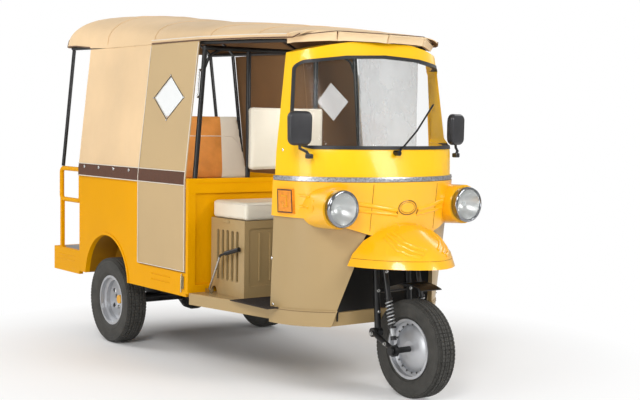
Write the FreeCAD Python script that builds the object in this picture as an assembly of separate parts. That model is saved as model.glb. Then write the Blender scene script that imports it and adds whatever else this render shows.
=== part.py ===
import FreeCAD, Part
import math
import os

from FreeCAD import Vector

# Three-wheeled auto rickshaw, millimetres, +X forward, +Y to the driver's left, +Z up.
# The origin is on the ground, under the middle of the vehicle's length and width.

# Running gear
wheelbase = 2070.0
rear_track = 1026.0
rear_overhang = 720.0
axle_setback = 50.0
rear_tyre_diameter = 495.0
rear_tyre_width = 120.0
front_tyre_diameter = 472.0
front_tyre_width = 106.0
bead_diameter = 262.0
rim_flange_diameter = 288.0
rim_width = 92.0
rim_gauge = 5.0
hub_diameter = 76.0
hub_length = 70.0
rear_hub_inset = 18.0
rear_hub_inner = 48.0
spindle_diameter = 28.0
running_gap = 0.3
shaft_gap = 0.05

# Steering
steering_rake = 18.0
steering_trail = 30.0
stem_diameter = 34.0
head_tube_diameter = 56.0
fork_leg_spacing = 200.0
fork_leg_diameter = 32.0
link_pivot_height = 301.0
link_pivot_reach = 158.0

# Body
panel_wall = 25.0
arch_lip = 4.0
curtain = 5.0
sheet = 12.0
rear_half_width = 590.0
body_length_behind_driver = 870.0
deck_height = 505.0
cab_floor_height = 405.0
waist_height = 970.0
belt_height = 1040.0
screen_bottom_height = 1180.0
screen_top_height = 1634.0
screen_corner_height = 1596.0
header_crown_height = 1703.0
header_corner_height = 1637.0
roof_edge_height = 1720.0
panel_bottom_height = 382.0
side_panel_rear = 410.0
entrance_rear = 350.0
arch_radius = 270.0
arch_centre_height = 360.0
tub_inner_offset = 405.0
tub_skin = 5.0

# Stations along the body, counted from the overall length
total_length = rear_overhang + wheelbase + front_tyre_diameter / 2
rear_axle_x = rear_overhang - total_length / 2
front_axle_x = rear_axle_x + wheelbase
rear_wheel_height = rear_tyre_diameter / 2
front_wheel_height = front_tyre_diameter / 2
body_x = rear_axle_x + axle_setback
bulkhead_x = body_x + body_length_behind_driver
rear_end_x = rear_axle_x - rear_overhang

parts = {}


def box(x0, x1, y0, y1, z0, z1):
    """Block between two opposite corners."""
    return Part.makeBox(x1 - x0, y1 - y0, z1 - z0, Vector(x0, y0, z0))


def other_side(shape):
    """The same piece on the other side of the middle plane."""
    return shape.mirror(Vector(0, 0, 0), Vector(0, 1, 0))


def both_sides(shape):
    """A left piece and its right twin, as two solids."""
    return Part.makeCompound([shape, other_side(shape)])


def rod(start, end, diameter):
    """Round bar between two points."""
    start, end = Vector(*start), Vector(*end)
    run = end - start
    return Part.makeCylinder(diameter / 2, run.Length, start, run)


def ring(outer, inner, length, centre, axis):
    """Sleeve of the given length, centred on a point."""
    centre, axis = Vector(*centre), Vector(*axis).normalize()
    start = centre - axis * (length / 2)
    sleeve = Part.makeCylinder(outer / 2, length, start, axis)
    return sleeve.cut(Part.makeCylinder(inner / 2, length, start, axis)) if inner else sleeve


def rounded_path(points, radius, closed=False):
    """Wire through the points, with a tangent arc of one radius at each corner."""
    points = [Vector(*p) for p in points]
    count = len(points)
    corners = range(count) if closed else range(1, count - 1)
    starts, ends, mids = {}, {}, {}
    for i in corners:
        corner, before, after = points[i], points[i - 1], points[(i + 1) % count]
        inward, outward = (before - corner).normalize(), (after - corner).normalize()
        half = inward.getAngle(outward) / 2
        setback = radius / math.tan(half)
        middle = (inward + outward).normalize()
        starts[i] = corner + inward * setback
        ends[i] = corner + outward * setback
        mids[i] = corner + middle * (radius / math.sin(half) - radius)
    edges = []
    spans = range(count) if closed else range(count - 1)
    for i in spans:
        j = (i + 1) % count
        if i in mids:
            edges.append(Part.Arc(starts[i], mids[i], ends[i]).toShape())
        a, b = ends.get(i, points[i]), starts.get(j, points[j])
        if (b - a).Length > 0.01:
            edges.append(Part.LineSegment(a, b).toShape())
    return Part.Wire(edges)


def bent_tube(points, diameter, radius):
    """Round tube of straight runs joined by bends of one radius."""
    points = [Vector(*p) for p in points]
    pieces = []
    start = points[0]
    for before, corner, after in zip(points, points[1:], points[2:]):
        inward, outward = (before - corner).normalize(), (after - corner).normalize()
        half = inward.getAngle(outward) / 2
        setback = radius / math.tan(half)
        bend_start = corner + inward * setback
        hub = corner + (inward + outward).normalize() * (radius / math.sin(half))
        pieces.append(rod(start, bend_start, diameter))
        section = Part.Face(Part.Wire(Part.makeCircle(diameter / 2, bend_start, inward)))
        turn = outward.cross(inward)
        pieces.append(section.revolve(hub, turn, 180 - 2 * math.degrees(half)))
        start = corner + outward * setback
    pieces.append(rod(start, points[-1], diameter))
    return fuse(pieces)


def slab(points, corner_radius, run):
    """Flat outline with rounded corners, thickened along a vector."""
    return Part.Face(rounded_path(points, corner_radius, closed=True)).extrude(Vector(*run))


def polygon(points, run):
    """Flat outline with sharp corners, thickened along a vector."""
    wire = Part.makePolygon([Vector(*p) for p in points + points[:1]])
    return Part.Face(wire).extrude(Vector(*run))


def fuse(shapes):
    """One solid from touching pieces."""
    return shapes[0].multiFuse(shapes[1:])


# Nose of the cab: each level is a superellipse in plan, from door edge round to door edge

nose_levels = {
    "skirt": dict(z=330.0, half=475.0, rear=1485.0, front=1862.0, power=2.1),
    "waist": dict(z=700.0, half=490.0, rear=1520.0, front=1915.0, power=2.1),
    "belt": dict(z=belt_height, half=500.0, rear=1552.0, front=1953.0, power=2.1),
    "screen": dict(z=screen_bottom_height - 15, half=497.0, rear=1556.0, front=1922.0, power=2.3),
    "header": dict(z=roof_edge_height - 10, half=447.0, rear=1567.0, front=1728.0, power=2.2),
}
nose_points = 9
visor_ledge = 28.0


def nose_level(z):
    """Plan of the nose at any height, by straight interpolation between the named levels."""
    levels = sorted(nose_levels.values(), key=lambda level: level["z"])
    low = max((k for k in range(len(levels) - 1) if levels[k]["z"] <= z), default=0)
    a, b = levels[low], levels[low + 1]
    share = (z - a["z"]) / (b["z"] - a["z"])
    return {key: a[key] + share * (b[key] - a[key]) for key in a}


def nose_x(y, z, offset=0.0):
    """Forward reach of the nose skin at a point of its front view."""
    level = nose_level(z)
    half, front = level["half"] + offset, body_x + level["front"] + offset
    rear = body_x + level["rear"]
    share = max(0.0, 1 - abs(y / half) ** level["power"])
    return rear + (front - rear) * share ** (1 / level["power"])


def nose_wire(z, offset, rear_shift=0.0):
    """Closed plan outline of the nose at one height, offset outwards."""
    level = nose_level(z)
    half = level["half"] + offset
    rear = body_x + level["rear"]
    reach = body_x + level["front"] + offset - rear
    points = []
    for k in range(-nose_points, nose_points + 1):
        turn = math.pi / 2 * k / nose_points
        side = math.copysign(abs(math.sin(turn)) ** (2 / level["power"]), turn) if k else 0.0
        ahead = abs(math.cos(turn)) ** (2 / level["power"]) if abs(k) < nose_points else 0.0
        points.append(Vector(rear + reach * ahead, half * side, z))
    if rear_shift:
        points += [Vector(rear - rear_shift, half, z), Vector(rear - rear_shift, -half, z)]
    return Part.makePolygon(points + points[:1])


def nose_body(z_low, z_high, offset, rear_shift=0.0):
    """Solid nose between two heights, with the named levels between them as sections."""
    middle = [level["z"] for level in nose_levels.values() if z_low + 1 < level["z"] < z_high - 1]
    heights = [z_low] + sorted(middle) + [z_high]
    wires = [nose_wire(z, offset, rear_shift) for z in heights]
    return Part.makeLoft(wires, True, True)


def header_height(y):
    """Top of the cab over a point of its width: a shallow crown."""
    return header_crown_height - (header_crown_height - header_corner_height) * (y / 450.0) ** 2


def under_header(drop):
    """Block below the crowned top of the cab, lowered by a distance."""
    edge, step = 600, 100
    crown = [(0, y, header_height(y) - drop) for y in range(-edge, edge + 1, step)]
    block = polygon(crown + [(0, edge, screen_bottom_height - 200), (0, -edge, screen_bottom_height - 200)],
                    (total_length, 0, 0))
    return block


def nose_shell(z_low, z_high, outer, inner):
    """Wall that follows the nose, open to the cab."""
    overshoot = 2.0
    core = nose_body(z_low - overshoot, z_high + overshoot, inner, overshoot * 4)
    return nose_body(z_low, z_high, outer).cut(core)


# Wheels

def revolved(profile, centre):
    """Ring turned about the wheel's axle line, from (offset, radius) pairs."""
    cx, cy, cz = centre
    points = [Vector(cx, cy + offset, cz + radius) for offset, radius in profile]
    face = Part.Face(Part.makePolygon(points + points[:1]))
    return face.revolve(Vector(*centre), Vector(0, 1, 0), 360)


def tyre(centre, diameter, width):
    """Tyre with squared shoulders, seated on the rim between its flanges."""
    half, outer = width / 2, diameter / 2
    neck, shoulder = rim_flange_diameter / 2 + 2 * running_gap, outer - 22
    seat_half = rim_width / 2 - rim_gauge - running_gap
    half_section = [(0, outer), (half - 24, outer - 2), (half - 9, outer - 7), (half - 1, shoulder),
                    (half, (neck + shoulder) / 2), (half - 5, neck + 14), (seat_half, neck),
                    (seat_half, bead_diameter / 2 + rim_gauge)]
    mirrored = [(-offset, radius) for offset, radius in half_section[:0:-1]]
    return revolved(half_section + mirrored, centre)


def rim(centre, disc_line, hole_count, hub_from, hub_to):
    """Pressed wheel: rim with flanges, a disc along a line of (offset, radius) pairs, and a bored hub."""
    cx, cy, cz = centre
    half, flange, seat = rim_width / 2, rim_flange_diameter / 2, bead_diameter / 2
    well, t = seat - 16, rim_gauge
    rim_ring = revolved([
        (-half, flange), (-half + t, flange), (-half + t, seat + t), (-20, seat + t), (-14, well + t),
        (14, well + t), (20, seat + t), (half - t, seat + t), (half - t, flange), (half, flange),
        (half, seat), (22, seat), (16, well), (-16, well), (-22, seat), (-half, seat),
    ], centre)
    line = [(disc_line[0][0], well + 1)] + disc_line[1:]
    disc = revolved(line + [(offset + t, radius) for offset, radius in reversed(line)], centre)
    hole_diameter = 26.0
    hole_circle = (well + hub_diameter / 2 + 22) / 2
    for k in range(hole_count):
        turn = 2 * math.pi * (k + 0.5) / hole_count
        x, z = cx + hole_circle * math.cos(turn), cz + hole_circle * math.sin(turn)
        disc = disc.cut(rod((x, cy - half, z), (x, cy + half, z), hole_diameter))
    hub_middle = (cx, cy + (hub_from + hub_to) / 2, cz)
    barrel = ring(hub_diameter, 0, abs(hub_to - hub_from), hub_middle, (0, 1, 0))
    wheel = fuse([rim_ring, disc, barrel])
    return wheel.cut(ring(spindle_diameter + 2 * shaft_gap, 0, rim_width * 2, centre, (0, 1, 0)))


def build_front_wheel():
    """Front wheel with the big domed brake drum for a disc."""
    centre = (front_axle_x, 0.0, front_wheel_height)
    hub = hub_diameter / 2
    drum_line = [(-8, 0), (-14, 104), (-24, 88), (-30, 62), (-hub_length / 2, hub - 2)]
    parts["tyre_front"] = tyre(centre, front_tyre_diameter, front_tyre_width)
    parts["rim_front"] = rim(centre, drum_line, 0, -hub_length / 2, hub_length / 2)


def build_rear_wheels():
    """Rear wheels with dished discs and hand holes."""
    hub = hub_diameter / 2
    for name, outward in (("rear_left", 1), ("rear_right", -1)):
        centre = (rear_axle_x, rear_track / 2 * outward, rear_wheel_height)
        at = -11.0 * outward - rim_gauge / 2
        dish = -13.0 * outward
        disc_line = [(at, 0), (at + dish, hub + 22), (at + dish, hub - 2)]
        parts["tyre_" + name] = tyre(centre, rear_tyre_diameter, rear_tyre_width)
        parts["rim_" + name] = rim(centre, disc_line, 6, -rear_hub_inset * outward, -rear_hub_inner * outward)


# Rear axle on leaf springs

axle_tube_diameter = 60.0
spring_offset = 300.0
spring_reach = 430.0
spring_width = 50.0
rail_height = 60.0
rail_width = 40.0
rear_rail_bottom = deck_height - 20.0 - rail_height


def build_rear_axle():
    inner_face = rear_track / 2 - rear_hub_inner - running_gap
    outer_face = rear_track / 2 - rear_hub_inset
    centre = (rear_axle_x, 0, rear_wheel_height)
    tube = ring(axle_tube_diameter, 0, 2 * inner_face, centre, (0, 1, 0))
    spindle = ring(spindle_diameter, 0, 2 * outer_face + 8, centre, (0, 1, 0))
    housing = revolved([(-95, 0), (-95, 40), (-60, 80), (-20, 95), (20, 95), (60, 80), (95, 40), (95, 0)], centre)
    flange = ring(110.0, 0, 30.0, (rear_axle_x + 95, 0, rear_wheel_height), (1, 0, 0))
    cap_length = 14.0
    cap_middle = (rear_axle_x, outer_face + running_gap + cap_length / 2, rear_wheel_height)
    caps = both_sides(ring(50.0, 0, cap_length, cap_middle, (0, 1, 0)))
    parts["rear_axle"] = fuse([tube, spindle, housing, flange] + caps.Solids)


def build_leaf_springs():
    top_of_axle = rear_wheel_height + axle_tube_diameter / 2
    leaf, eye_lift = 9.0, 60.0
    leaves = []
    for k in range(3):
        reach = spring_reach * (1 - 0.22 * k)
        low = top_of_axle + running_gap + leaf * (2 - k)
        lift = eye_lift * (reach / spring_reach) ** 2
        y = spring_offset - spring_width / 2

        def arc(drop):
            return Part.Arc(Vector(rear_axle_x - reach, y, low + lift + drop), Vector(rear_axle_x, y, low + drop),
                            Vector(rear_axle_x + reach, y, low + lift + drop)).toShape()

        under, over = arc(0), arc(leaf)
        ends = [Part.LineSegment(under.Vertexes[i].Point, over.Vertexes[i].Point).toShape() for i in (0, 1)]
        face = Part.Face(Part.Wire([under, ends[1], over, ends[0]]))
        leaves.append(face.extrude(Vector(0, spring_width, 0)))
    eye_z = top_of_axle + running_gap + 2 * leaf + leaf / 2 + eye_lift
    hangers = []
    for sign in (-1, 1):
        x = rear_axle_x + sign * (spring_reach - 4)
        eye = ring(30.0, 0, spring_width, (x, spring_offset, eye_z), (0, 1, 0))
        hangers.append(eye)
        hangers.append(box(x - 15, x + 15, spring_offset - spring_width / 2, spring_offset + spring_width / 2,
                           eye_z, rear_rail_bottom))
    clamp = box(rear_axle_x - 45, rear_axle_x + 45, spring_offset - spring_width / 2 - 6,
                spring_offset + spring_width / 2 + 6, top_of_axle + running_gap + 3 * leaf - 1,
                top_of_axle + running_gap + 3 * leaf + 10)
    parts["leaf_springs"] = both_sides(fuse(leaves + hangers + [clamp]))


# Chassis: two rails, stepped up behind the cab, and the steering neck

def steer_point(height):
    """Point of the steering axis at a height over the ground."""
    ground_x = front_axle_x + steering_trail
    return Vector(ground_x - height * math.tan(math.radians(steering_rake)), 0, height)


sill_bottom = 345.0
seat_front_x = body_x + 1215.0
seat_half = 452.0
seat_top = 800.0
engine_rear_x = bulkhead_x + panel_wall + 55.0
engine_front_x = seat_front_x - 50.0
head_low, head_high = 668.0, 868.0
crown_height = head_low - 26.0
cab_rail_bottom = cab_floor_height - 20.0 - rail_height
cab_rail_offset = 280.0
cab_front_x = body_x + 1575.0


def steering_neck(grow):
    """Head tube on two bent struts, thickened by a distance."""
    head = rod(steer_point(head_low), steer_point(head_high), head_tube_diameter + 2 * grow)
    x, top = cab_front_x - rail_width / 2, steer_point((head_low + head_high) / 2 + 60)
    foot, knee = (x, 110.0, cab_rail_bottom + rail_height - 5), (x, 90.0, top.z + 30)
    strut = bent_tube([foot, knee, (top.x, 6.0, top.z)], 42.0 + 2 * grow, 70.0)
    return fuse([head, strut, other_side(strut)])


def build_chassis():
    step_x = bulkhead_x - 60
    pieces = []
    for sign in (-1, 1):
        y0, y1 = sorted((sign * (spring_offset - rail_width / 2), sign * (spring_offset + rail_width / 2)))
        pieces.append(box(rear_end_x + panel_wall, step_x + rail_width, y0, y1, rear_rail_bottom,
                          rear_rail_bottom + rail_height))
        pieces.append(box(step_x, step_x + rail_width, y0, y1, cab_rail_bottom, rear_rail_bottom + rail_height))
        pieces.append(box(step_x, cab_front_x, y0, y1, cab_rail_bottom, cab_rail_bottom + rail_height))
    wide = spring_offset + rail_width / 2
    for x in (rear_end_x + panel_wall, rear_axle_x - 330, rear_axle_x + 330):
        pieces.append(box(x, x + rail_width, -wide, wide, rear_rail_bottom, rear_rail_bottom + rail_height))
    for x in (step_x, engine_rear_x + 10, engine_front_x - 10 - rail_width, cab_front_x - rail_width):
        pieces.append(box(x, x + rail_width, -wide, wide, cab_rail_bottom, cab_rail_bottom + rail_height))
    low, high = steer_point(head_low), steer_point(head_high)
    bore = Part.makeCylinder(stem_diameter / 2 + shaft_gap, (high - low).Length * 1.2, low - (high - low) * 0.1,
                             high - low)
    parts["chassis"] = fuse(pieces + [steering_neck(0)]).cut(bore)


# Rear body

def build_rear_floor():
    """Passenger floor round the wheel tubs, and the plate of the luggage deck behind it."""
    skin = 20.0
    inner = rear_half_width - panel_wall - running_gap
    panel_rear = body_x - side_panel_rear
    plate = box(panel_rear, bulkhead_x, -inner, inner, deck_height - skin, deck_height)
    notch = wheel_arch(arch_radius + tub_skin + running_gap, tub_inner_offset - tub_skin - running_gap, inner + 1)
    parts["rear_floor"] = plate.cut(notch).cut(other_side(notch))
    parts["luggage_deck"] = box(rear_end_x + panel_wall + running_gap, panel_rear - running_gap, -inner, inner,
                                deck_height - skin, deck_height)


def wheel_arch(radius, y0, y1):
    """Arched prism over the rear wheel, open at the ground."""
    round_top = rod((rear_axle_x, y0, arch_centre_height), (rear_axle_x, y1, arch_centre_height), 2 * radius)
    legs = box(rear_axle_x - radius, rear_axle_x + radius, y0, y1, 0, arch_centre_height)
    return fuse([round_top, legs])


def build_wheel_tubs():
    outer_y = rear_half_width - panel_wall - running_gap
    outer = wheel_arch(arch_radius + tub_skin, tub_inner_offset - tub_skin, outer_y)
    inner = wheel_arch(arch_radius, tub_inner_offset, outer_y + 1)
    below = box(rear_axle_x - 400, rear_axle_x + 400, 0, rear_half_width, -1, panel_bottom_height)
    parts["wheel_tubs"] = both_sides(outer.cut(inner).cut(below))


def side_panel():
    """Pressed side panel: high behind the passenger entrance, low as its sill in front."""
    y0, y1 = rear_half_width - panel_wall, rear_half_width
    rear, front = body_x - side_panel_rear, bulkhead_x - running_gap
    entrance = body_x + entrance_rear
    outline = [(rear, y0, panel_bottom_height), (front, y0, panel_bottom_height), (front, y0, deck_height),
               (entrance, y0, deck_height), (entrance, y0, waist_height), (rear, y0, waist_height)]
    panel = polygon(outline, (0, panel_wall, 0))
    panel = panel.cut(wheel_arch(arch_radius, y0 - 1, y1 + 1))
    lip = wheel_arch(arch_radius + 14, y1 - 4, y1 + arch_lip).cut(wheel_arch(arch_radius, y1 - 5, y1 + 5))
    lip = lip.cut(box(rear_axle_x - 400, rear_axle_x + 400, y0, y1 + 10, -1, panel_bottom_height))
    panel = fuse([panel, lip])
    rib_length, rib_height, rib_depth = 200.0, 7.0, 2.5
    for z in (435.0, 465.0):
        x = body_x + 500
        panel = panel.cut(box(x, x + rib_length, y1 - rib_depth, y1 + 1, z, z + rib_height))
    return panel


def build_side_panels():
    parts["side_panel_left"] = side_panel()
    parts["side_panel_right"] = other_side(parts["side_panel_left"])


def build_rear_skirt():
    """Low apron round the luggage deck: two sides and the tail."""
    y1, y0 = rear_half_width, rear_half_width - panel_wall
    front = body_x - side_panel_rear - running_gap
    bottom = panel_bottom_height - 20
    side = box(rear_end_x, front, y0, y1, bottom, deck_height)
    tail = box(rear_end_x, rear_end_x + panel_wall, -y1, y1, bottom, deck_height)
    parts["rear_skirt"] = fuse([side, other_side(side), tail])


def build_rear_panel():
    """Wall between the passenger seat and the luggage deck."""
    inner = rear_half_width - panel_wall - running_gap
    x = body_x - side_panel_rear
    wall = box(x, x + panel_wall, -inner, inner, deck_height + running_gap, waist_height)
    recess_margin, recess_depth = 60.0, 8.0
    wall = wall.cut(box(x - 1, x + recess_depth, -inner + recess_margin, inner - recess_margin,
                        deck_height + recess_margin, waist_height - recess_margin))
    parts["rear_panel"] = wall


rail_tube = 28.0
rear_rail_y = rear_half_width - rail_tube / 2 - 2
rear_rail_top = waist_height + 26


def build_rear_rails():
    """Closed loops of bent tube beside the luggage deck, against the side panels and each on a square post."""
    y, bend = rear_rail_y, 28.0
    front = body_x - side_panel_rear - running_gap - rail_tube / 2
    back = rear_end_x + 75.0
    middle = (front + back) / 2
    top, low = rear_rail_top, waist_height - 165
    loop = bent_tube([(middle, y, top), (back, y, top), (back, y, low), (front, y, low), (front, y, top),
                      (middle, y, top)], rail_tube, bend)
    post = box(back + 4, back + 26, y - 8, y + 13, deck_height, low + 8)
    foot = box(back - 12, back + 42, y - 8, y + 13, deck_height, deck_height + 6)
    parts["rear_rails"] = both_sides(fuse([loop, post, foot]))


# Bulkhead behind the driver and the posts on it

bulkhead_bottom = 398.0
bulkhead_top = 1003.0
post_tube = 26.0
outer_post_y = 548.0
inner_post_y = 222.0
partition_x = bulkhead_x + 13.0


def build_bulkhead():
    half = rear_half_width + 4
    wall = box(bulkhead_x, bulkhead_x + panel_wall, -half, half, bulkhead_bottom, bulkhead_top)
    inner, depth = half - 45, 14.0
    wall = wall.cut(box(bulkhead_x + panel_wall - depth, bulkhead_x + panel_wall + 1, -inner, inner,
                        deck_height - 60, bulkhead_top - 78))
    groove = box(bulkhead_x + panel_wall - 3, bulkhead_x + panel_wall + 1, -inner, inner,
                 bulkhead_top - 30, bulkhead_top - 24)
    parts["bulkhead"] = wall.cut(groove)


roof_half = 520.0
roof_crown = 1955.0
roof_front_crown = 1742.0
roof_skin = 10.0
roof_power = 2.8
roof_tube = 22.0
tail_round = 150.0
tail_drop = 90.0
tail_stations = [
    dict(x=-rear_overhang - axle_setback + tail_round * (1 - math.cos(math.pi / 8 * k)),
         half=roof_half - 20 * (1 - math.sin(math.pi / 8 * k)),
         edge=roof_edge_height + 26,
         crown=roof_crown - tail_drop * (1 - math.sin(math.pi / 8 * k)))
    for k in range(5)
]
roof_stations = tail_stations + [
    dict(x=-400.0, half=roof_half, edge=roof_edge_height + 8, crown=roof_crown - 8),
    dict(x=-200.0, half=roof_half, edge=roof_edge_height, crown=1930.0),
    dict(x=340.0, half=roof_half, edge=roof_edge_height, crown=1874.0),
    dict(x=870.0, half=roof_half, edge=roof_edge_height - 2, crown=1836.0),
    dict(x=1300.0, half=494.0, edge=1711.0, crown=1792.0),
    dict(x=1600.0, half=470.0, edge=1702.0, crown=1760.0),
    dict(x=1780.0, half=452.0, edge=1692.0, crown=roof_front_crown),
]


def roof_at(x):
    """Half width, edge height and crown height of the roof at a station."""
    stations = roof_stations
    x = x - body_x
    low = max((k for k in range(len(stations) - 1) if stations[k]["x"] <= x), default=0)
    a, b = stations[low], stations[low + 1]
    share = (x - a["x"]) / (b["x"] - a["x"])
    return {key: a[key] + share * (b[key] - a[key]) for key in ("half", "edge", "crown")}


def roof_wire(x, inset, drop):
    """Closed cross-section of the roof, flat below and superelliptic above."""
    at = roof_at(x)
    half, edge, crown = at["half"] - inset, at["edge"], at["crown"] - inset
    count = 7
    points = []
    for k in range(-count, count + 1):
        turn = math.pi / 2 * k / count
        side = math.copysign(abs(math.sin(turn)) ** (2 / roof_power), turn) if k else 0.0
        rise = abs(math.cos(turn)) ** (2 / roof_power) if abs(k) < count else 0.0
        points.append(Vector(x, half * side, edge + (crown - edge) * rise))
    if drop:
        points += [Vector(x, half, edge - drop), Vector(x, -half, edge - drop)]
    return Part.makePolygon(points + points[:1])


def build_roof_canopy():
    xs = [body_x + station["x"] for station in roof_stations]
    outer = Part.makeLoft([roof_wire(x, 0, 0) for x in xs], True, True)
    inside = [xs[0] + roof_skin] + xs[2:-1] + [xs[-1] + 2]
    inner = Part.makeLoft([roof_wire(x, roof_skin, 5.0) for x in inside], True, True)
    plan = nose_wire(nose_levels["header"]["z"], visor_ledge - running_gap, total_length)
    front = Part.Face(plan).extrude(Vector(0, 0, 400)).translate(Vector(0, 0, -100))
    wide = box(rear_end_x - 1, body_x + nose_levels["header"]["rear"], -rear_half_width, rear_half_width,
               roof_edge_height - 50, roof_crown + 50)
    parts["roof_canopy"] = outer.cut(inner).common(fuse([front, wide]))


def rail_stops():
    """Ends and bend of the left roof rail: along the rear body, then in with the cab."""
    clear = roof_skin + curtain + 2 * running_gap + roof_tube / 2
    drop = 8.0
    tail_x = rear_end_x + 60
    header_x = body_x + nose_levels["header"]["rear"] - 2
    bend, header = roof_at(bulkhead_x), roof_at(header_x)
    return [Vector(tail_x, bend["half"] - clear, roof_at(tail_x)["edge"] - drop),
            Vector(bulkhead_x, bend["half"] - clear, bend["edge"] - drop),
            Vector(header_x, header["half"] - clear, header["edge"] - drop)]


def roof_side(x):
    """Place of the left roof rail at a station."""
    tail, bend, header = rail_stops()
    a, b = (tail, bend) if x < bend.x else (bend, header)
    return a + (b - a) * ((x - a.x) / (b.x - a.x))


def on_line(start, end, height):
    """Point of a leaning line at a height."""
    return start + (end - start) * ((height - start.z) / (end.z - start.z))


def bow(x, width, depth):
    """Flat bow arched from rail to rail, with its crown under the canopy."""
    top = min(roof_at(x)["crown"], roof_at(x + width)["crown"]) - roof_skin - 2 * running_gap
    side = roof_side(x)
    edges = []
    for sink in (0.0, depth):
        left, right = Vector(x, side.y, side.z - sink), Vector(x, -side.y, side.z - sink)
        edges.append(Part.Arc(left, Vector(x, 0, top - sink), right).toShape())
    outer, inner = edges
    ends = [Part.LineSegment(outer.Vertexes[k].Point, inner.Vertexes[k].Point).toShape() for k in (0, 1)]
    return Part.Face(Part.Wire([outer, ends[1], inner, ends[0]])).extrude(Vector(width, 0, 0))


def roof_post(foot, x):
    """Post from a flat foot up to the underside of the roof rail."""
    top = roof_side(x)
    lean = (top - foot).normalize()
    stop = top - lean * (roof_tube / 2 + running_gap)
    below = box(foot.x - 100, foot.x + 100, foot.y - 100, foot.y + 100, foot.z - 100, foot.z)
    return rod(foot - lean * roof_tube, stop, roof_tube).cut(below)


def build_roof_frame():
    """Rails and bows under the canopy, the tail posts, and the posts behind the seat with their brace."""
    tail_x, seat_x = body_x - 690, body_x - side_panel_rear
    rail = bent_tube(rail_stops(), roof_tube, 300.0)
    around_rail = bent_tube(rail_stops(), roof_tube + 2 * running_gap, 300.0)
    bows = [bow(x, 22.0, 12.0).cut(around_rail).cut(other_side(around_rail))
            for x in (tail_x, seat_x, body_x + 340, body_x + 1300)]
    bows = [max(shape.Solids, key=lambda solid: solid.Volume) for shape in bows]
    tail_foot = Vector(rear_end_x + 95, rear_rail_y, rear_rail_top + rail_tube / 2 + running_gap)
    tail_post = roof_post(tail_foot, tail_x)
    seat_foot = Vector(seat_x + panel_wall / 2, rear_half_width - panel_wall / 2 - 2, waist_height + running_gap)
    seat_post = roof_post(seat_foot, seat_x)
    end = on_line(seat_foot, roof_side(seat_x), brace_height)
    brace = rod(Vector(end.x, -end.y, end.z), end, brace_tube)
    seat_frame = fuse([seat_post, other_side(seat_post), brace])
    parts["roof_frame"] = Part.makeCompound([rail, other_side(rail), tail_post, other_side(tail_post), seat_frame])
    parts["roof_bows"] = Part.makeCompound(bows)


def build_partition_hoop():
    """Black posts on the bulkhead with the cross tube under the roof rails."""
    rail = roof_side(bulkhead_x + panel_wall / 2)
    top_z = rail.z - roof_tube / 2 - post_tube / 2 - running_gap - 1.5
    foot_z = bulkhead_top
    outer = rod((partition_x, outer_post_y, foot_z), (partition_x, rail.y, top_z), post_tube)
    outer = outer.cut(box(partition_x - 50, partition_x + 50, 0, rear_half_width, foot_z - 50, foot_z))
    inner = rod((partition_x, inner_post_y, foot_z), (partition_x, inner_post_y, top_z), post_tube)
    gusset_path = [(partition_x, rail.y + 8, top_z - 120), (partition_x, rail.y - 30, top_z - 35),
                   (partition_x, rail.y - 115, top_z)]
    gusset = bent_tube(gusset_path, 14.0, 50.0)
    cross = rod((partition_x, -rail.y, top_z), (partition_x, rail.y, top_z), post_tube)
    end = Part.makeSphere(post_tube / 2 + 1.5, Vector(partition_x, rail.y, top_z))
    sides = [outer, inner, gusset, end]
    parts["partition_hoop"] = fuse(sides + [other_side(s) for s in sides] + [cross])


# Soft sides

curtain_fold_height = 1000.0
curtain_foot_y = rear_half_width + arch_lip + running_gap
curtain_top_y = roof_half - 2 - curtain
curtain_lean = (curtain_foot_y - curtain_top_y) / (roof_edge_height - curtain_fold_height)


def curtain_y(z):
    """Inner face of the side curtains: upright to the waist, leaning in above it."""
    return curtain_foot_y - max(0.0, z - curtain_fold_height) * curtain_lean


def curtain_sheet(x0, x1, z_low, z_high):
    """Hanging sheet between two stations and two heights."""
    heights = [z_low, curtain_fold_height, z_high]
    inner = [(x0, curtain_y(z), z) for z in heights]
    outer = [(x0, curtain_y(z) + curtain, z) for z in reversed(heights)]
    return polygon(inner + outer, (x1 - x0, 0, 0))


diamond_half_width = 155.0
diamond_half_height = 113.0
diamond_centre_height = 1424.0


def build_side_canopies():
    sheet_left = curtain_sheet(body_x - side_panel_rear, body_x + entrance_rear - 2,
                               waist_height - 8, roof_edge_height - running_gap)
    parts["side_canopies"] = both_sides(sheet_left)


def build_side_flaps():
    """Curtain over the passenger entrance, with a clear diamond window."""
    x0, x1 = body_x + entrance_rear, bulkhead_x - 6
    centre = (x0 + x1) / 2
    flap = curtain_sheet(x0, x1, deck_height + 6, roof_edge_height - 2 - running_gap)
    corners = [(centre - diamond_half_width, 0, diamond_centre_height),
               (centre, 0, diamond_centre_height - diamond_half_height),
               (centre + diamond_half_width, 0, diamond_centre_height),
               (centre, 0, diamond_centre_height + diamond_half_height)]
    cutter = polygon(corners, (0, 2 * rear_half_width, 0))
    window = curtain_sheet(x0, x1, deck_height + 6, roof_edge_height - 2 - running_gap).common(cutter)
    flap = flap.cut(cutter)
    parts["side_flaps"] = both_sides(flap)
    parts["flap_windows"] = both_sides(window)


# Cab floor, driver's seat and engine

def sill_y(x):
    """Half width of the cab floor: it narrows from the bulkhead to the nose."""
    level = nose_level(nose_levels["skirt"]["z"] + 70)
    share = (x - bulkhead_x) / (body_x + level["rear"] - bulkhead_x)
    return rear_half_width + share * (level["half"] - rear_half_width)


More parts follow.
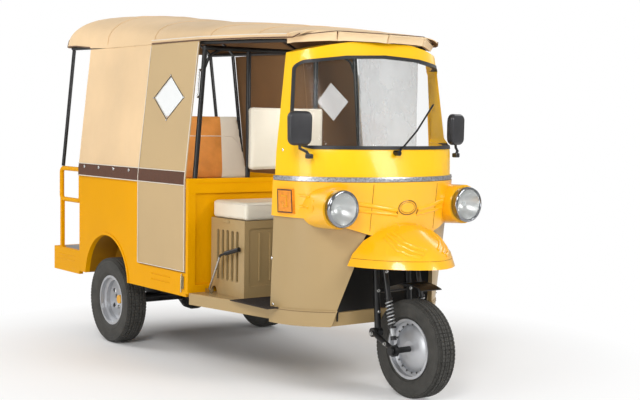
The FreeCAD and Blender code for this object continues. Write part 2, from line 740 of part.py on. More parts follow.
def build_cab_floor():
    """Floor plate with a deep folded sill at each door."""
    x0 = bulkhead_x + panel_wall + running_gap
    x1 = body_x + nose_level(sill_bottom)["rear"] - running_gap
    thick = 20.0
    outline = [(x0, -sill_y(x0), cab_floor_height - thick), (x1, -sill_y(x1), cab_floor_height - thick),
               (x1, sill_y(x1), cab_floor_height - thick), (x0, sill_y(x0), cab_floor_height - thick)]
    plate = polygon(outline, (0, 0, thick))
    front_bay = box(x1 - 1, cab_front_x, -350, 350, cab_floor_height - thick, cab_floor_height)
    sill = polygon([(x0, sill_y(x0) - panel_wall, sill_bottom), (x1, sill_y(x1) - panel_wall, sill_bottom),
                    (x1, sill_y(x1), sill_bottom), (x0, sill_y(x0), sill_bottom)],
                   (0, 0, cab_floor_height - sill_bottom))
    floor = fuse([plate, front_bay, sill, other_side(sill)])
    engine_bay = box(x0 + 40, seat_front_x - 40, -230, 230, 0, cab_floor_height + 1)
    neck_x = cab_front_x - rail_width / 2
    neck_slot = box(neck_x - 26, neck_x + 26, -136, 136, cab_floor_height - thick - 1, cab_floor_height + 1)
    parts["cab_floor"] = floor.cut(engine_bay).cut(neck_slot)


def build_driver_seat_box():
    """Engine cover under the driver: a hollow box with slots in its sides and panels in front."""
    x0, x1, wall = bulkhead_x + panel_wall + running_gap, seat_front_x, sheet
    z0, z1 = cab_floor_height, seat_top
    shell = box(x0, x1, -seat_half, seat_half, z0, z1)
    shell = shell.cut(box(x0 - 1, x1 - wall, -seat_half + wall, seat_half - wall, z0 - 1, z1 - wall))
    slot_width, slot_height, slot_count = 24.0, 262.0, 5
    pitch = (x1 - x0 - 90) / slot_count
    for k in range(slot_count):
        x = x0 + 45 + pitch * (k + 0.5)
        low, high = z0 + 75, z0 + 75 + slot_height
        run = (0, 2 * seat_half + 4, 0)
        y = -seat_half - 2
        outline = [(x - slot_width / 2, y, low), (x + slot_width / 2, y, low),
                   (x + slot_width / 2, y, high), (x - slot_width / 2, y, high)]
        shell = shell.cut(slab(outline, slot_width / 2 - 0.5, run))
    panel_count, panel_gap, depth = 3, 26.0, 5.0
    panel_width = (2 * seat_half - 60 - panel_gap * (panel_count - 1)) / panel_count
    for k in range(panel_count):
        y = -seat_half + 30 + k * (panel_width + panel_gap)
        outline = [(x1 - depth, y, z0 + 60), (x1 - depth, y + panel_width, z0 + 60),
                   (x1 - depth, y + panel_width, z1 - 40), (x1 - depth, y, z1 - 40)]
        shell = shell.cut(slab(outline, 18.0, (depth + 1, 0, 0)))
        rib_count = 3
        for j in range(rib_count):
            rib_y = y + panel_width * (j + 1) / (rib_count + 1)
            shell = fuse([shell, box(x1 - depth - 1, x1 - 1, rib_y - 5, rib_y + 5, z0 + 85, z1 - 65)])
    pipe_hole = rod((x0 + 30, -seat_half - 2, z0 + 8), (x0 + 30, -seat_half + wall + 2, z0 + 8), 52.0)
    parts["driver_seat_box"] = shell.cut(pipe_hole)


def build_driver_cushions():
    x0 = bulkhead_x + panel_wall + 4
    cushion = box(x0, seat_front_x + 16, -seat_half - 6, seat_half + 6, seat_top + running_gap, seat_top + 92)
    parts["driver_cushion"] = cushion.makeFillet(14.0, cushion.Edges)
    pad_x = partition_x + post_tube / 2 + running_gap
    pad = box(pad_x, pad_x + 45, -245, 245, 1040.0, 1385.0)
    parts["driver_backrest"] = pad.makeFillet(14.0, pad.Edges)


def build_engine():
    seat_z = cab_rail_bottom + rail_height + running_gap
    parts["engine"] = box(engine_rear_x, engine_front_x, -190, 190, seat_z, 700.0)


# Rear seat

rear_seat_top = 815.0
rear_seat_front = 130.0
rear_cushion_height = 110.0
backrest_thickness = 58.0
backrest_lean = 35.0
backrest_top = 1340.0
brace_height = 1300.0
brace_tube = 18.0


def build_rear_seat():
    """Bench box between the wheel tubs, with its cushion and leaning backrest."""
    x0 = body_x - side_panel_rear + panel_wall + running_gap
    x1 = body_x + rear_seat_front
    wall = 15.0
    inner = rear_half_width - panel_wall - 4
    top = box(x0, x1, -inner, inner, rear_seat_top - wall, rear_seat_top)
    front_half = tub_inner_offset - tub_skin - running_gap
    front = box(x1 - wall, x1, -front_half, front_half, deck_height, rear_seat_top - wall)
    parts["rear_seat_box"] = fuse([top, front])
    low = rear_seat_top + rear_cushion_height + running_gap
    brace_x = body_x - side_panel_rear + panel_wall / 2 * (roof_edge_height - brace_height) / (
        roof_edge_height - waist_height)
    back_top_x = brace_x + brace_tube / 2 + 1 - backrest_lean * (backrest_top - brace_height) / (backrest_top - low)
    back_low_x = back_top_x + backrest_lean
    cushion = box(back_low_x + 4, x1 + 20, -inner, inner, rear_seat_top + running_gap, low - running_gap)
    parts["rear_cushion"] = cushion.makeFillet(18.0, cushion.Edges)
    half_top = roof_side(brace_x).y
    profile = [(back_low_x, low), (back_low_x + backrest_thickness, low),
               (back_top_x + backrest_thickness, backrest_top), (back_top_x, backrest_top)]
    wide = polygon([(x, -inner, z) for x, z in profile], (0, 2 * inner, 0))
    taper = polygon([(x0 - 200, -inner, low - 1), (x0 - 200, inner, low - 1), (x0 - 200, half_top, backrest_top + 1),
                     (x0 - 200, -half_top, backrest_top + 1)], (400, 0, 0))
    parts["rear_backrest"] = wide.common(taper)


# Nose of the cab

def front_view_prism(points, radius, x_from, x_to):
    """Prism that cuts the nose along the driving direction."""
    return slab([(x_from, y, z) for y, z in points], radius, (x_to - x_from, 0, 0))


lamp_offset = 390.0
lamp_height = 908.0
lamp_radius = 82.0
lamp_face_x = body_x + 1955.0
lamp_depth = 140.0


def lamp_bore():
    """Hole for the left headlamp, along the driving direction."""
    return rod((lamp_face_x - lamp_depth, lamp_offset, lamp_height), (lamp_face_x, lamp_offset, lamp_height),
               2 * (lamp_radius + running_gap))


well_low_half = 330.0
well_high_half = 205.0
well_top = 790.0


def cross_bar(grow):
    """Flat bar behind the front wheel, between the two ends of the cowl's hem, thickened by a distance."""
    x, half, low, height = body_x + 1755.0, 336.0, nose_levels["skirt"]["z"], 64.0
    return box(x - 10 - grow, x + 10 + grow, -half, half, low - grow, low + height + grow)


def build_cowl_lower():
    """Beige lower cowl, open over the front wheel."""
    low, high = nose_levels["skirt"]["z"], belt_height - 12
    shell = nose_shell(low, high, 0, -panel_wall)
    well = front_view_prism([(-well_low_half, low - 40), (well_low_half, low - 40), (well_high_half, well_top),
                             (-well_high_half, well_top)], 38.0, body_x + 1660, body_x + 2100)
    shell = shell.cut(well)
    hem = nose_body(low, low + 80, 5).cut(nose_body(low - 2, low + 82, -6, 20.0)).cut(well)
    bore = lamp_bore()
    parts["cowl_lower"] = fuse([shell, hem, cross_bar(0)]).cut(bore).cut(other_side(bore))


def build_wheel_well():
    """Tunnel over the front wheel, between the cowl's opening and the cab."""
    gauge, centre_x, radius = 6.0, body_x + 1905.0, 305.0
    low, high = 352.0, well_top + 30
    barrel = Part.makeCylinder(radius + gauge, high - low, Vector(centre_x, 0, low))
    hollow = Part.makeCylinder(radius, high - low - gauge, Vector(centre_x, 0, low))
    shell = barrel.cut(hollow)
    inside = nose_body(low - 5, high + 5, -panel_wall - running_gap, 400.0)
    rear_half = box(centre_x - 400, centre_x + 400, -400, 400, low - 5, high + 5)
    shell = shell.common(inside).common(rear_half)
    stem_axis = steer_point(high + 100) - steer_point(low)
    hole = Part.makeCylinder(head_tube_diameter / 2 + running_gap, stem_axis.Length, steer_point(low), stem_axis)
    parts["wheel_well"] = shell.cut(hole).cut(steering_neck(running_gap)).cut(cross_bar(running_gap))


screen_corner = 55.0


def screen_outline(inset):
    """Windscreen opening in front view, arched along its top."""
    low_half, high_half, thin = 487.0, 449.0, 0.3 * inset
    corner, top = screen_corner_height - inset, screen_top_height - inset
    middle = top - (top - corner) / 4
    return [(-low_half + thin, screen_bottom_height + inset), (low_half - thin, screen_bottom_height + inset),
            (high_half - thin, corner), (high_half / 2, middle), (0, top), (-high_half / 2, middle),
            (-high_half + thin, corner)]


def build_cowl_upper():
    """Yellow upper cowl with the windscreen pillars and the crowned header in one pressing."""
    low, high = belt_height + 10, nose_levels["header"]["z"]
    top_wall = 16.0
    core = nose_body(low - 2, high + 2, -panel_wall, 8.0).common(under_header(top_wall))
    shell = nose_body(low, high, 0).common(under_header(0)).cut(core)
    x = body_x + 1560
    opening = front_view_prism(screen_outline(0), screen_corner, x, x + 500)
    parts["cowl_upper"] = shell.cut(opening)
    glass_depth, glass_gauge, seal_width = 8.0, 6.0, 16.0
    clear = front_view_prism(screen_outline(seal_width), screen_corner - seal_width, x, x + 500)
    pane = nose_shell(low, high - 40, -glass_depth, -glass_depth - glass_gauge)
    parts["windscreen"] = pane.common(clear)
    lip = nose_shell(low, high - 40, 5, -panel_wall + 3)
    parts["windscreen_seal"] = lip.common(opening).cut(clear)


def build_belt_trim():
    """Bright strip round the nose at the belt line."""
    low, high = belt_height - 12 + running_gap, belt_height + 10 - running_gap
    parts["belt_trim"] = nose_shell(low, high, 9, -panel_wall + 8)


mask_gauge = 12.0


def lamp_pod():
    """Blister from the squared cheek of the mask to the round rim of the left headlamp."""
    cheek = dict(x=body_x + 1700.0, y=340.0, z=902.0, half=112.0, rise=100.0, power=3.0)
    mouth = dict(x=lamp_face_x - 34, y=lamp_offset, z=lamp_height, half=lamp_radius + 15, rise=lamp_radius + 15,
                 power=2.0)
    count = 20

    def section(at):
        points = []
        for k in range(count):
            turn = 2 * math.pi * (k + 0.5) / count
            side, lift = math.cos(turn), math.sin(turn)
            across = math.copysign(abs(side) ** (2 / at["power"]), side)
            upward = math.copysign(abs(lift) ** (2 / at["power"]), lift)
            points.append(Vector(at["x"], at["y"] + at["half"] * across, at["z"] + at["rise"] * upward))
        return Part.makePolygon(points + points[:1])

    return Part.makeLoft([section(cheek), section(mouth)], True, True)


def build_front_mask():
    """Orange mask over the cowl with a pod round each headlamp."""
    low, high = 760.0, belt_height - 14
    skin = nose_shell(low, high, mask_gauge, running_gap)
    x = body_x + 1400
    lower_edge = [(-600, low - 60), (600, low - 60), (600, 862), (430, 850), (190, 775), (-190, 775), (-430, 850),
                  (-600, 862)]
    skin = skin.cut(polygon([(x, y, z) for y, z in lower_edge], (700, 0, 0)))
    pod = lamp_pod()
    inside = nose_body(low - 80, high + 2, mask_gauge / 2, 300.0)
    bore = lamp_bore()
    pod = pod.cut(inside)
    mask = fuse([skin, pod, other_side(pod)]).cut(bore).cut(other_side(bore))
    parts["front_mask"] = mask


def build_headlamps():
    """Round lamps: bright ring, bowl and convex lens."""
    back = lamp_face_x - lamp_depth + 4
    bowl = rod((back, lamp_offset, lamp_height), (lamp_face_x - 6, lamp_offset, lamp_height), 2 * lamp_radius)
    rim_ring = ring(2 * lamp_radius + 12, 0, 26.0, (lamp_face_x - 17, lamp_offset, lamp_height), (1, 0, 0))
    dome_radius = 180.0
    dome = Part.makeSphere(dome_radius, Vector(lamp_face_x + 14 - dome_radius, lamp_offset, lamp_height))
    dome = dome.common(rod((lamp_face_x - 10, lamp_offset, lamp_height), (lamp_face_x + 40, lamp_offset, lamp_height),
                           2 * lamp_radius - 8))
    parts["headlamps"] = both_sides(fuse([bowl, rim_ring, dome]))


def build_indicators():
    """Amber indicator lamps on the corners of the mask."""
    x0, x1, z0, z1 = body_x + 1600, body_x + 1690, 872.0, 990.0
    skin = nose_shell(z0, z1, mask_gauge + 14, mask_gauge + running_gap)
    block = box(x0, x1, 0, 700, z0, z1)
    parts["indicators"] = both_sides(skin.common(block))


def build_nose_fender():
    """Beak over the front wheel, fixed to the cowl."""
    sections = [dict(z=630.0, half=285.0, front=2192.0), dict(z=690.0, half=268.0, front=2165.0),
                dict(z=750.0, half=228.0, front=2100.0), dict(z=792.0, half=172.0, front=2040.0),
                dict(z=822.0, half=90.0, front=1985.0)]
    power = 1.7

    def wire(section, inset, drop):
        rear = body_x + 1868.0
        half = section["half"] - inset
        reach = body_x + section["front"] - inset - rear
        points = []
        count = 7
        for k in range(-count, count + 1):
            turn = math.pi / 2 * k / count
            side = math.copysign(abs(math.sin(turn)) ** (2 / power), turn) if k else 0.0
            ahead = abs(math.cos(turn)) ** (2 / power) if abs(k) < count else 0.0
            points.append(Vector(rear + reach * ahead, half * side, section["z"] - drop))
        points += [Vector(rear - 60, half, section["z"] - drop), Vector(rear - 60, -half, section["z"] - drop)]
        return Part.makePolygon(points + points[:1])

    outer = Part.makeLoft([wire(s, 0, 0) for s in sections], True, True)
    inner = Part.makeLoft([wire(s, 10.0, 10.0) for s in sections], True, True)
    floor_cut = box(body_x + 1500, body_x + 2400, -500, 500, 500, 630)
    shell = outer.cut(inner)
    cowl = nose_body(560.0, 900.0, mask_gauge + running_gap, 300.0)
    parts["nose_fender"] = shell.cut(cowl).cut(floor_cut)


def build_mirrors():
    """Door mirrors on short arms at the lower corners of the windscreen, turned in to the driver."""
    y, z, toe = 449.0, 1150.0, 26.0
    x = nose_x(y, z)
    foot = box(x - 30, x + 26, y + 2, y + 40, z - 14, z + 14).cut(nose_body(1100, 1200, running_gap, 300.0))
    arm = rod((x + 2, y + 30, z), (x + 24, y + 54, z + 56), 18.0)
    low, high = z + 40, z + 208
    head = slab([(x + 4, y + 2, low + 4), (x + 4, y + 124, low - 6), (x + 4, y + 130, high - 6),
                 (x + 4, y + 12, high)], 26.0, (42.0, 0, 0))
    head.rotate(Vector(x + 24, y + 54, z), Vector(0, 0, 1), toe)
    parts["mirrors"] = both_sides(fuse([foot, arm, head]))


def build_wiper():
    """Wiper on its spindle below the windscreen."""
    y0, z0 = -60.0, screen_bottom_height - 16
    x0 = nose_x(y0, z0)
    knob = rod((x0 - 10, y0, z0), (x0 + 30, y0, z0), 26.0).cut(nose_body(z0 - 40, z0 + 40, running_gap, 60.0))
    lift = 15.0

    def over_glass(y, z, height):
        return (nose_x(y, z) + height, y, z)

    tip_y, tip_z = 264.0, 1399.0
    middle_y, middle_z = y0 + 0.45 * (tip_y - y0), z0 + 0.45 * (tip_z - z0)
    arm = bent_tube([(x0 + 20, y0, z0), over_glass(middle_y, middle_z, lift + 8), over_glass(tip_y, tip_z, lift)],
                    9.0, 60.0)
    parts["wiper"] = fuse([knob, arm])


def build_visor():
    """Sun visor wrapped round the crowned header, flaring out at its lower edge."""
    low, high = header_corner_height - 30, header_crown_height + 50
    header = nose_levels["header"]
    gauge, flare = 10.0, 24.0
    grow_low, grow_high = visor_ledge + gauge + flare, visor_ledge + gauge

    def wire(z, grow):
        points = []
        half, rear = header["half"] + grow, body_x + header["rear"]
        reach = header["front"] - header["rear"] + grow
        for k in range(-7, 8):
            turn = math.pi / 2 * k / 7
            side = math.copysign(abs(math.sin(turn)) ** (2 / header["power"]), turn) if k else 0.0
            ahead = abs(math.cos(turn)) ** (2 / header["power"]) if abs(k) < 7 else 0.0
            points.append(Vector(rear + reach * ahead, half * side, z))
        return Part.makePolygon(points + points[:1])

    outer = Part.makeLoft([wire(low, grow_low), wire(high, grow_high)], True, True)
    inner = Part.makeLoft([wire(low - 1, grow_low - gauge), wire(high + 1, grow_high - gauge)], True, True)
    visor_depth = 48.0
    parts["visor"] = outer.cut(inner).common(under_header(-visor_depth + 6)).cut(under_header(6))


def build_door_curtain():
    """Clear curtain that closes the left door, from the bulkhead to the nose."""
    gauge = 3.0
    low, high = cab_floor_height + 25, roof_edge_height - 20
    ends = []
    for x in (bulkhead_x + panel_wall + 6, body_x + 1465):
        y_low = sill_y(x) - panel_wall
        y_high = roof_side(x).y + roof_tube / 2 + running_gap
        corners = [Vector(x, y_low, low), Vector(x, y_low + gauge, low), Vector(x, y_high + gauge, high),
                   Vector(x, y_high, high)]
        ends.append(Part.makePolygon(corners + corners[:1]))
    parts["door_curtain"] = Part.makeLoft(ends, True, True)


def build_hand_lever():
    """Parking brake lever by the right sill."""
    foot_half = 10.0
    x, y, z = bulkhead_x + 75, -seat_half - 34 - foot_half, cab_floor_height
    base = box(x - 20, x + 20, y - foot_half, y + foot_half, z, z + 24)
    lever = bent_tube([(x, y, z + 12), (x + 110, y, z + 210), (x + 235, y + 22, z + 247)], 12.0, 30.0)
    grip = rod((x + 150, y + 6, z + 222), (x + 250, y + 25, z + 251), 24.0)
    parts["hand_lever"] = fuse([base, lever, grip])


# Steered parts

def build_steering_column():
    """Stem in the head tube with the fork crown below and the handlebar above."""
    crown_z = crown_height
    top_z = 985.0
    low, high = steer_point(crown_z), steer_point(top_z)
    stem = Part.makeCylinder(stem_diameter / 2, (high - low).Length, low, high - low)
    collar_low, collar_high = steer_point(head_high + 2 * running_gap), steer_point(head_high + 26)
    collar = Part.makeCylinder(head_tube_diameter / 2, (collar_high - collar_low).Length, collar_low,
                               collar_high - collar_low)
    reach, spread, rise = 150.0, 265.0, 26.0
    tip = (high.x - reach, spread, top_z + rise)
    elbow = (high.x - reach * 0.55, spread * 0.62, top_z + rise + 8)
    root = (high.x, spread * 0.3, top_z - 4)
    bar = bent_tube([(p[0], -p[1], p[2]) for p in (tip, elbow, root)] + [root, elbow, tip], 24.0, 34.0)
    parts["steering_column"] = fuse([stem, collar, bar])
    grip_start = Vector(*tip) + (Vector(*elbow) - Vector(*tip)) * 0.64
    outward = (Vector(*tip) - grip_start).normalize()
    grip = rod(grip_start, Vector(*tip) + outward * 4, 34.0)
    grip = grip.cut(rod(grip_start - outward * 5, Vector(*tip), 24.0))
    parts["handlebar_grips"] = both_sides(grip)


def fork_leg_line():
    """Left fork leg: from the crown to the pivot of its leading link."""
    y = fork_leg_spacing / 2
    top = Vector(steer_point(crown_height).x - 6, y, crown_height)
    return top, Vector(front_axle_x - link_pivot_reach, y, link_pivot_height)


def shock_perch(grow):
    """Stub under the fork crown that takes the top of the left shock absorber."""
    centre, y = steer_point(crown_height), fork_leg_spacing / 2
    perch = rod((centre.x + 62, y, crown_height - 10), (centre.x + 66, y, crown_height - 44 - grow), 30.0 + 2 * grow)
    return perch


def build_fork():
    """Fork behind the wheel: crown, two legs, and the pivots of the leading links."""
    crown_z = crown_height
    centre = steer_point(crown_z)
    y = fork_leg_spacing / 2
    top, foot = fork_leg_line()
    leg = rod(top, foot, fork_leg_diameter)
    crown = box(centre.x - 34, centre.x + 78, -y - 18, y + 18, crown_z - 22, crown_z + 14)
    boss = ring(46.0, 0, 30.0, foot, (0, 1, 0))
    pieces = [leg, boss, shock_perch(0)]
    fork = fuse([crown] + pieces + [other_side(p) for p in pieces])
    low, high = steer_point(crown_z), steer_point(head_high)
    parts["fork"] = fork.cut(Part.makeCylinder(stem_diameter / 2, (high - low).Length, low, high - low))


def build_front_links():
    """Leading links that carry the front axle, and their shock absorbers."""
    y = fork_leg_spacing / 2
    pivot = Vector(front_axle_x - link_pivot_reach, 0, link_pivot_height)
    axle = Vector(front_axle_x, 0, front_wheel_height)
    link_y = y + fork_leg_diameter / 2 + 13 + running_gap
    link = rod((pivot.x, link_y, pivot.z), (axle.x, link_y, axle.z), 26.0)
    eye = ring(44.0, 0, 16.0, (pivot.x, link_y, pivot.z), (0, 1, 0))
    boss = ring(54.0, 0, 22.0, (axle.x, link_y, axle.z), (0, 1, 0))
    tie = rod((axle.x, -link_y - 20, axle.z), (axle.x, link_y + 20, axle.z), spindle_diameter)
    nuts = [ring(40.0, 0, 12.0, (axle.x, sign * (link_y + 22), axle.z), (0, 1, 0)) for sign in (-1, 1)]
    pieces = [link, eye, boss]
    parts["leading_links"] = fuse(pieces + [other_side(p) for p in pieces] + [tie] + nuts)


def build_front_shocks():
    crown_z = crown_height
    centre = steer_point(crown_z)
    y = fork_leg_spacing / 2
    top = Vector(centre.x + 66, y, crown_z - 44)
    foot = Vector(body_x + 1985.0, y + 2, 276.0)
    run = foot - top
    body = Part.makeCylinder(15.0, run.Length * 0.98, top, run)
    spring = Part.makeCylinder(25.0, run.Length * 0.5, top + run * 0.12, run)
    parts["front_shocks"] = both_sides(fuse([body, spring]).cut(shock_perch(running_gap)))


def build_front_mudguard():
    """Black guard close over the front tyre, on a stay between the fork legs."""
    inner, gauge, half = front_tyre_diameter / 2 + 74, 4.0, 62.0
    centre = Vector(front_axle_x, 0, front_wheel_height)
    guard = ring(2 * (inner + gauge), 2 * inner, 2 * half, centre, (0, 1, 0))
    sector = [Vector(front_axle_x, -half - 1, front_wheel_height)]
    for turn in (69, 98, 127):
        angle = math.radians(turn)
        sector.append(Vector(centre.x + 500 * math.cos(angle), -half - 1, centre.z + 500 * math.sin(angle)))
    guard = guard.common(polygon(sector, (0, 2 * half + 2, 0)))
    top, foot = fork_leg_line()
    along = (foot - top).normalize()
    to_axle = Vector(centre.x, top.y, centre.z) - top
    nearest = to_axle.dot(along)
    offset = (to_axle - along * nearest).Length
    at = top + along * (nearest - math.sqrt((inner + gauge / 2) ** 2 - offset ** 2))
    reach = fork_leg_spacing / 2 - fork_leg_diameter / 2 - running_gap
    stay = rod((at.x, -reach, at.z), (at.x, reach, at.z), 14.0)
    parts["front_mudguard"] = fuse([guard, stay])


build_front_wheel()
build_rear_wheels()
build_rear_axle()
build_leaf_springs()
build_chassis()
build_rear_floor()
build_wheel_tubs()
build_side_panels()
build_rear_skirt()
build_rear_panel()
build_rear_rails()
build_bulkhead()
build_roof_canopy()
build_roof_frame()
build_partition_hoop()
build_side_canopies()
build_side_flaps()
build_cab_floor()
build_driver_seat_box()
build_driver_cushions()
build_engine()
build_rear_seat()
build_cowl_lower()
build_wheel_well()
build_cowl_upper()
build_belt_trim()
build_front_mask()
build_headlamps()
build_indicators()
build_nose_fender()
build_mirrors()
build_wiper()
build_visor()
build_door_curtain()
build_hand_lever()
build_steering_column()
build_fork()
build_front_links()
build_front_shocks()
build_front_mudguard()

os.makedirs("parts", exist_ok=True)
for name, shape in parts.items():
    shape.exportStep("parts/" + name + ".step")
    print(name, "solids", len(shape.Solids), "volume", round(shape.Volume / 1e6, 3), "valid", shape.isValid())
whole = Part.makeCompound(list(parts.values())).BoundBox
print("box", [round(v, 1) for v in (whole.XMin, whole.XMax, whole.YMin, whole.YMax, whole.ZMin, whole.ZMax)])
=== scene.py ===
import math

import bmesh
import bpy
from mathutils import Matrix, Vector, noise
from mathutils.bvhtree import BVHTree


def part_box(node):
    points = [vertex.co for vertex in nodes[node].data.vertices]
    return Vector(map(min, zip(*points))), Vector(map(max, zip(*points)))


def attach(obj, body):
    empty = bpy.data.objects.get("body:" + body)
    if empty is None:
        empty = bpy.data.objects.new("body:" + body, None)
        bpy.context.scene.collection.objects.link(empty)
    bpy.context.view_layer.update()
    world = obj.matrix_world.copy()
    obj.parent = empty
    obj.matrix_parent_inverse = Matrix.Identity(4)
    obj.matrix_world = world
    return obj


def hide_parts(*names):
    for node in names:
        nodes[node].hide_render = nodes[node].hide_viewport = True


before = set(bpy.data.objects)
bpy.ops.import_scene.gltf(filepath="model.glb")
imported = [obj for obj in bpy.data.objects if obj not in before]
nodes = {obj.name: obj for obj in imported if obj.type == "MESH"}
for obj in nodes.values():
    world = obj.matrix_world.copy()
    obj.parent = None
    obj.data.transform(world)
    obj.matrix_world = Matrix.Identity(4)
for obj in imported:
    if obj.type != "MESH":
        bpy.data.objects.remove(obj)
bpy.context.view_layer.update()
scene = bpy.context.scene

# The camera: its place is solved from both wheels, the lamps and the panel lines. It stands ahead
# of the vehicle on its right, a little over the driver's eye height, with a moderate tele lens.
camera = bpy.data.objects.new("camera", bpy.data.cameras.new("camera"))
scene.collection.objects.link(camera)
scene.camera = camera
camera.data.sensor_width = 36.0
camera.data.lens = 68.87
camera.data.clip_end = 200.0
standpoint = (5.656, -3.806, 1.314)
heading, dip, roll = math.radians(143.58), math.radians(3.72), math.radians(0.83)
level = Vector((math.cos(heading), math.sin(heading), 0))
forward = level * math.cos(dip) - Vector((0, 0, math.sin(dip)))
across = Vector((math.sin(heading), -math.cos(heading), 0))
upright = across.cross(forward)
right = across * math.cos(roll) + upright * math.sin(roll)
up = upright * math.cos(roll) - across * math.sin(roll)
turned = Matrix((right, up, -forward)).transposed().to_4x4()
camera.matrix_world = Matrix.Translation(standpoint) @ turned

# The studio: soft light from large lamps over a pale floor. The background is white by its own
# colour, to the camera and through glass, so that no extra light falls on the vehicle.
scene.view_settings.view_transform = "Standard"
world = bpy.data.worlds.new("studio")
scene.world = world
world.use_nodes = True


def white_when_seen(tree, lit, white, out, reach=None):
    """Shows plain white to the camera, also through glass, and the lit surface or sky elsewhere."""
    path = tree.nodes.new("ShaderNodeLightPath")
    either = tree.nodes.new("ShaderNodeMath")
    either.operation = "MAXIMUM"
    tree.links.new(path.outputs["Is Camera Ray"], either.inputs[0])
    tree.links.new(path.outputs["Is Transmission Ray"], either.inputs[1])
    share = either.outputs[0]
    if reach:
        both = tree.nodes.new("ShaderNodeMath")
        both.operation = "MULTIPLY"
        tree.links.new(share, both.inputs[0])
        tree.links.new(reach, both.inputs[1])
        share = both.outputs[0]
    mix = tree.nodes.new("ShaderNodeMixShader")
    tree.links.new(share, mix.inputs["Fac"])
    tree.links.new(lit, mix.inputs[1])
    tree.links.new(white, mix.inputs[2])
    tree.links.new(mix.outputs[0], out)


tree = world.node_tree
tree.nodes.clear()
ambient = tree.nodes.new("ShaderNodeBackground")
ambient.inputs["Color"].default_value = (1.0, 0.985, 0.96, 1)
ambient.inputs["Strength"].default_value = 0.42
white_sky = tree.nodes.new("ShaderNodeBackground")
white_sky.inputs["Color"].default_value = (1, 1, 1, 1)
white_sky.inputs["Strength"].default_value = 1.0
world_out = tree.nodes.new("ShaderNodeOutputWorld")
white_when_seen(tree, ambient.outputs[0], white_sky.outputs[0], world_out.inputs["Surface"])


def soft_lamp(name, place, aim, size, power):
    """Large round lamp turned to a point of the vehicle."""
    lamp = bpy.data.lights.new(name, "AREA")
    lamp.shape = "DISK"
    lamp.size = size
    lamp.energy = power
    holder = bpy.data.objects.new(name, lamp)
    scene.collection.objects.link(holder)
    holder.location = place
    holder.rotation_euler = (Vector(aim) - Vector(place)).to_track_quat("-Z", "Y").to_euler()
    holder.visible_camera = False


soft_lamp("key", (5.0, -4.6, 4.6), (0.4, 0.0, 0.9), 2.2, 215)
soft_lamp("side", (1.6, -6.5, 1.3), (0.2, 0.0, 0.9), 2.4, 95)
soft_lamp("front", (6.0, 2.0, 3.2), (0.9, 0.0, 0.9), 2.2, 150)
soft_lamp("rear", (-5.0, -3.5, 4.5), (-0.8, 0.0, 1.1), 3.6, 150)
soft_lamp("cabin", (-0.30, 0.0, 1.62), (-1.05, 0.0, 1.05), 0.6, 6.8)
soft_lamp("cab", (0.50, 0.0, 1.52), (0.0, 0.5, 1.1), 0.3, 1.6)
soft_lamp("far", (-1.0, 6.0, 4.5), (0.0, 0.0, 1.0), 4.0, 90)

floor_radius, shadow_from, shadow_reach = 60.0, 0.9, 2.2
floor_form = bmesh.new()
bmesh.ops.create_circle(floor_form, cap_ends=True, segments=64, radius=floor_radius)
floor_mesh = bpy.data.meshes.new("floor")
floor_form.to_mesh(floor_mesh)
floor_form.free()
floor = bpy.data.objects.new("floor", floor_mesh)
scene.collection.objects.link(floor)
floor_finish = bpy.data.materials.new("pale_floor")
floor_finish.use_nodes = True
floor_mesh.materials.append(floor_finish)
tree = floor_finish.node_tree
lit_floor = tree.nodes["Principled BSDF"]
lit_floor.inputs["Base Color"].default_value = (0.92, 0.92, 0.92, 1)
lit_floor.inputs["Roughness"].default_value = 0.9
white_floor = tree.nodes.new("ShaderNodeEmission")
white_floor.inputs["Color"].default_value = (1, 1, 1, 1)
place = tree.nodes.new("ShaderNodeTexCoord")
distance = tree.nodes.new("ShaderNodeVectorMath")
distance.operation = "LENGTH"
fade = tree.nodes.new("ShaderNodeMapRange")
fade.inputs["From Min"].default_value = shadow_from
fade.inputs["From Max"].default_value = shadow_reach
tree.links.new(place.outputs["Object"], distance.inputs[0])
tree.links.new(distance.outputs["Value"], fade.inputs["Value"])
white_when_seen(tree, lit_floor.outputs[0], white_floor.outputs[0],
                tree.nodes["Material Output"].inputs["Surface"], fade.outputs[0])

# The tyres: moulded black rubber on all three wheels. Four grooves run round the tread, fine cross
# cuts split its ribs into blocks, and the sidewalls carry plain raised rings.


def tint(red, green, blue):
    """A colour as it is seen, in display steps of 0 to 255, as the light it reflects."""
    shares = [value / 255 for value in (red, green, blue)]
    return tuple(share / 12.92 if share < 0.04045 else ((share + 0.055) / 1.055) ** 2.4
                 for share in shares)


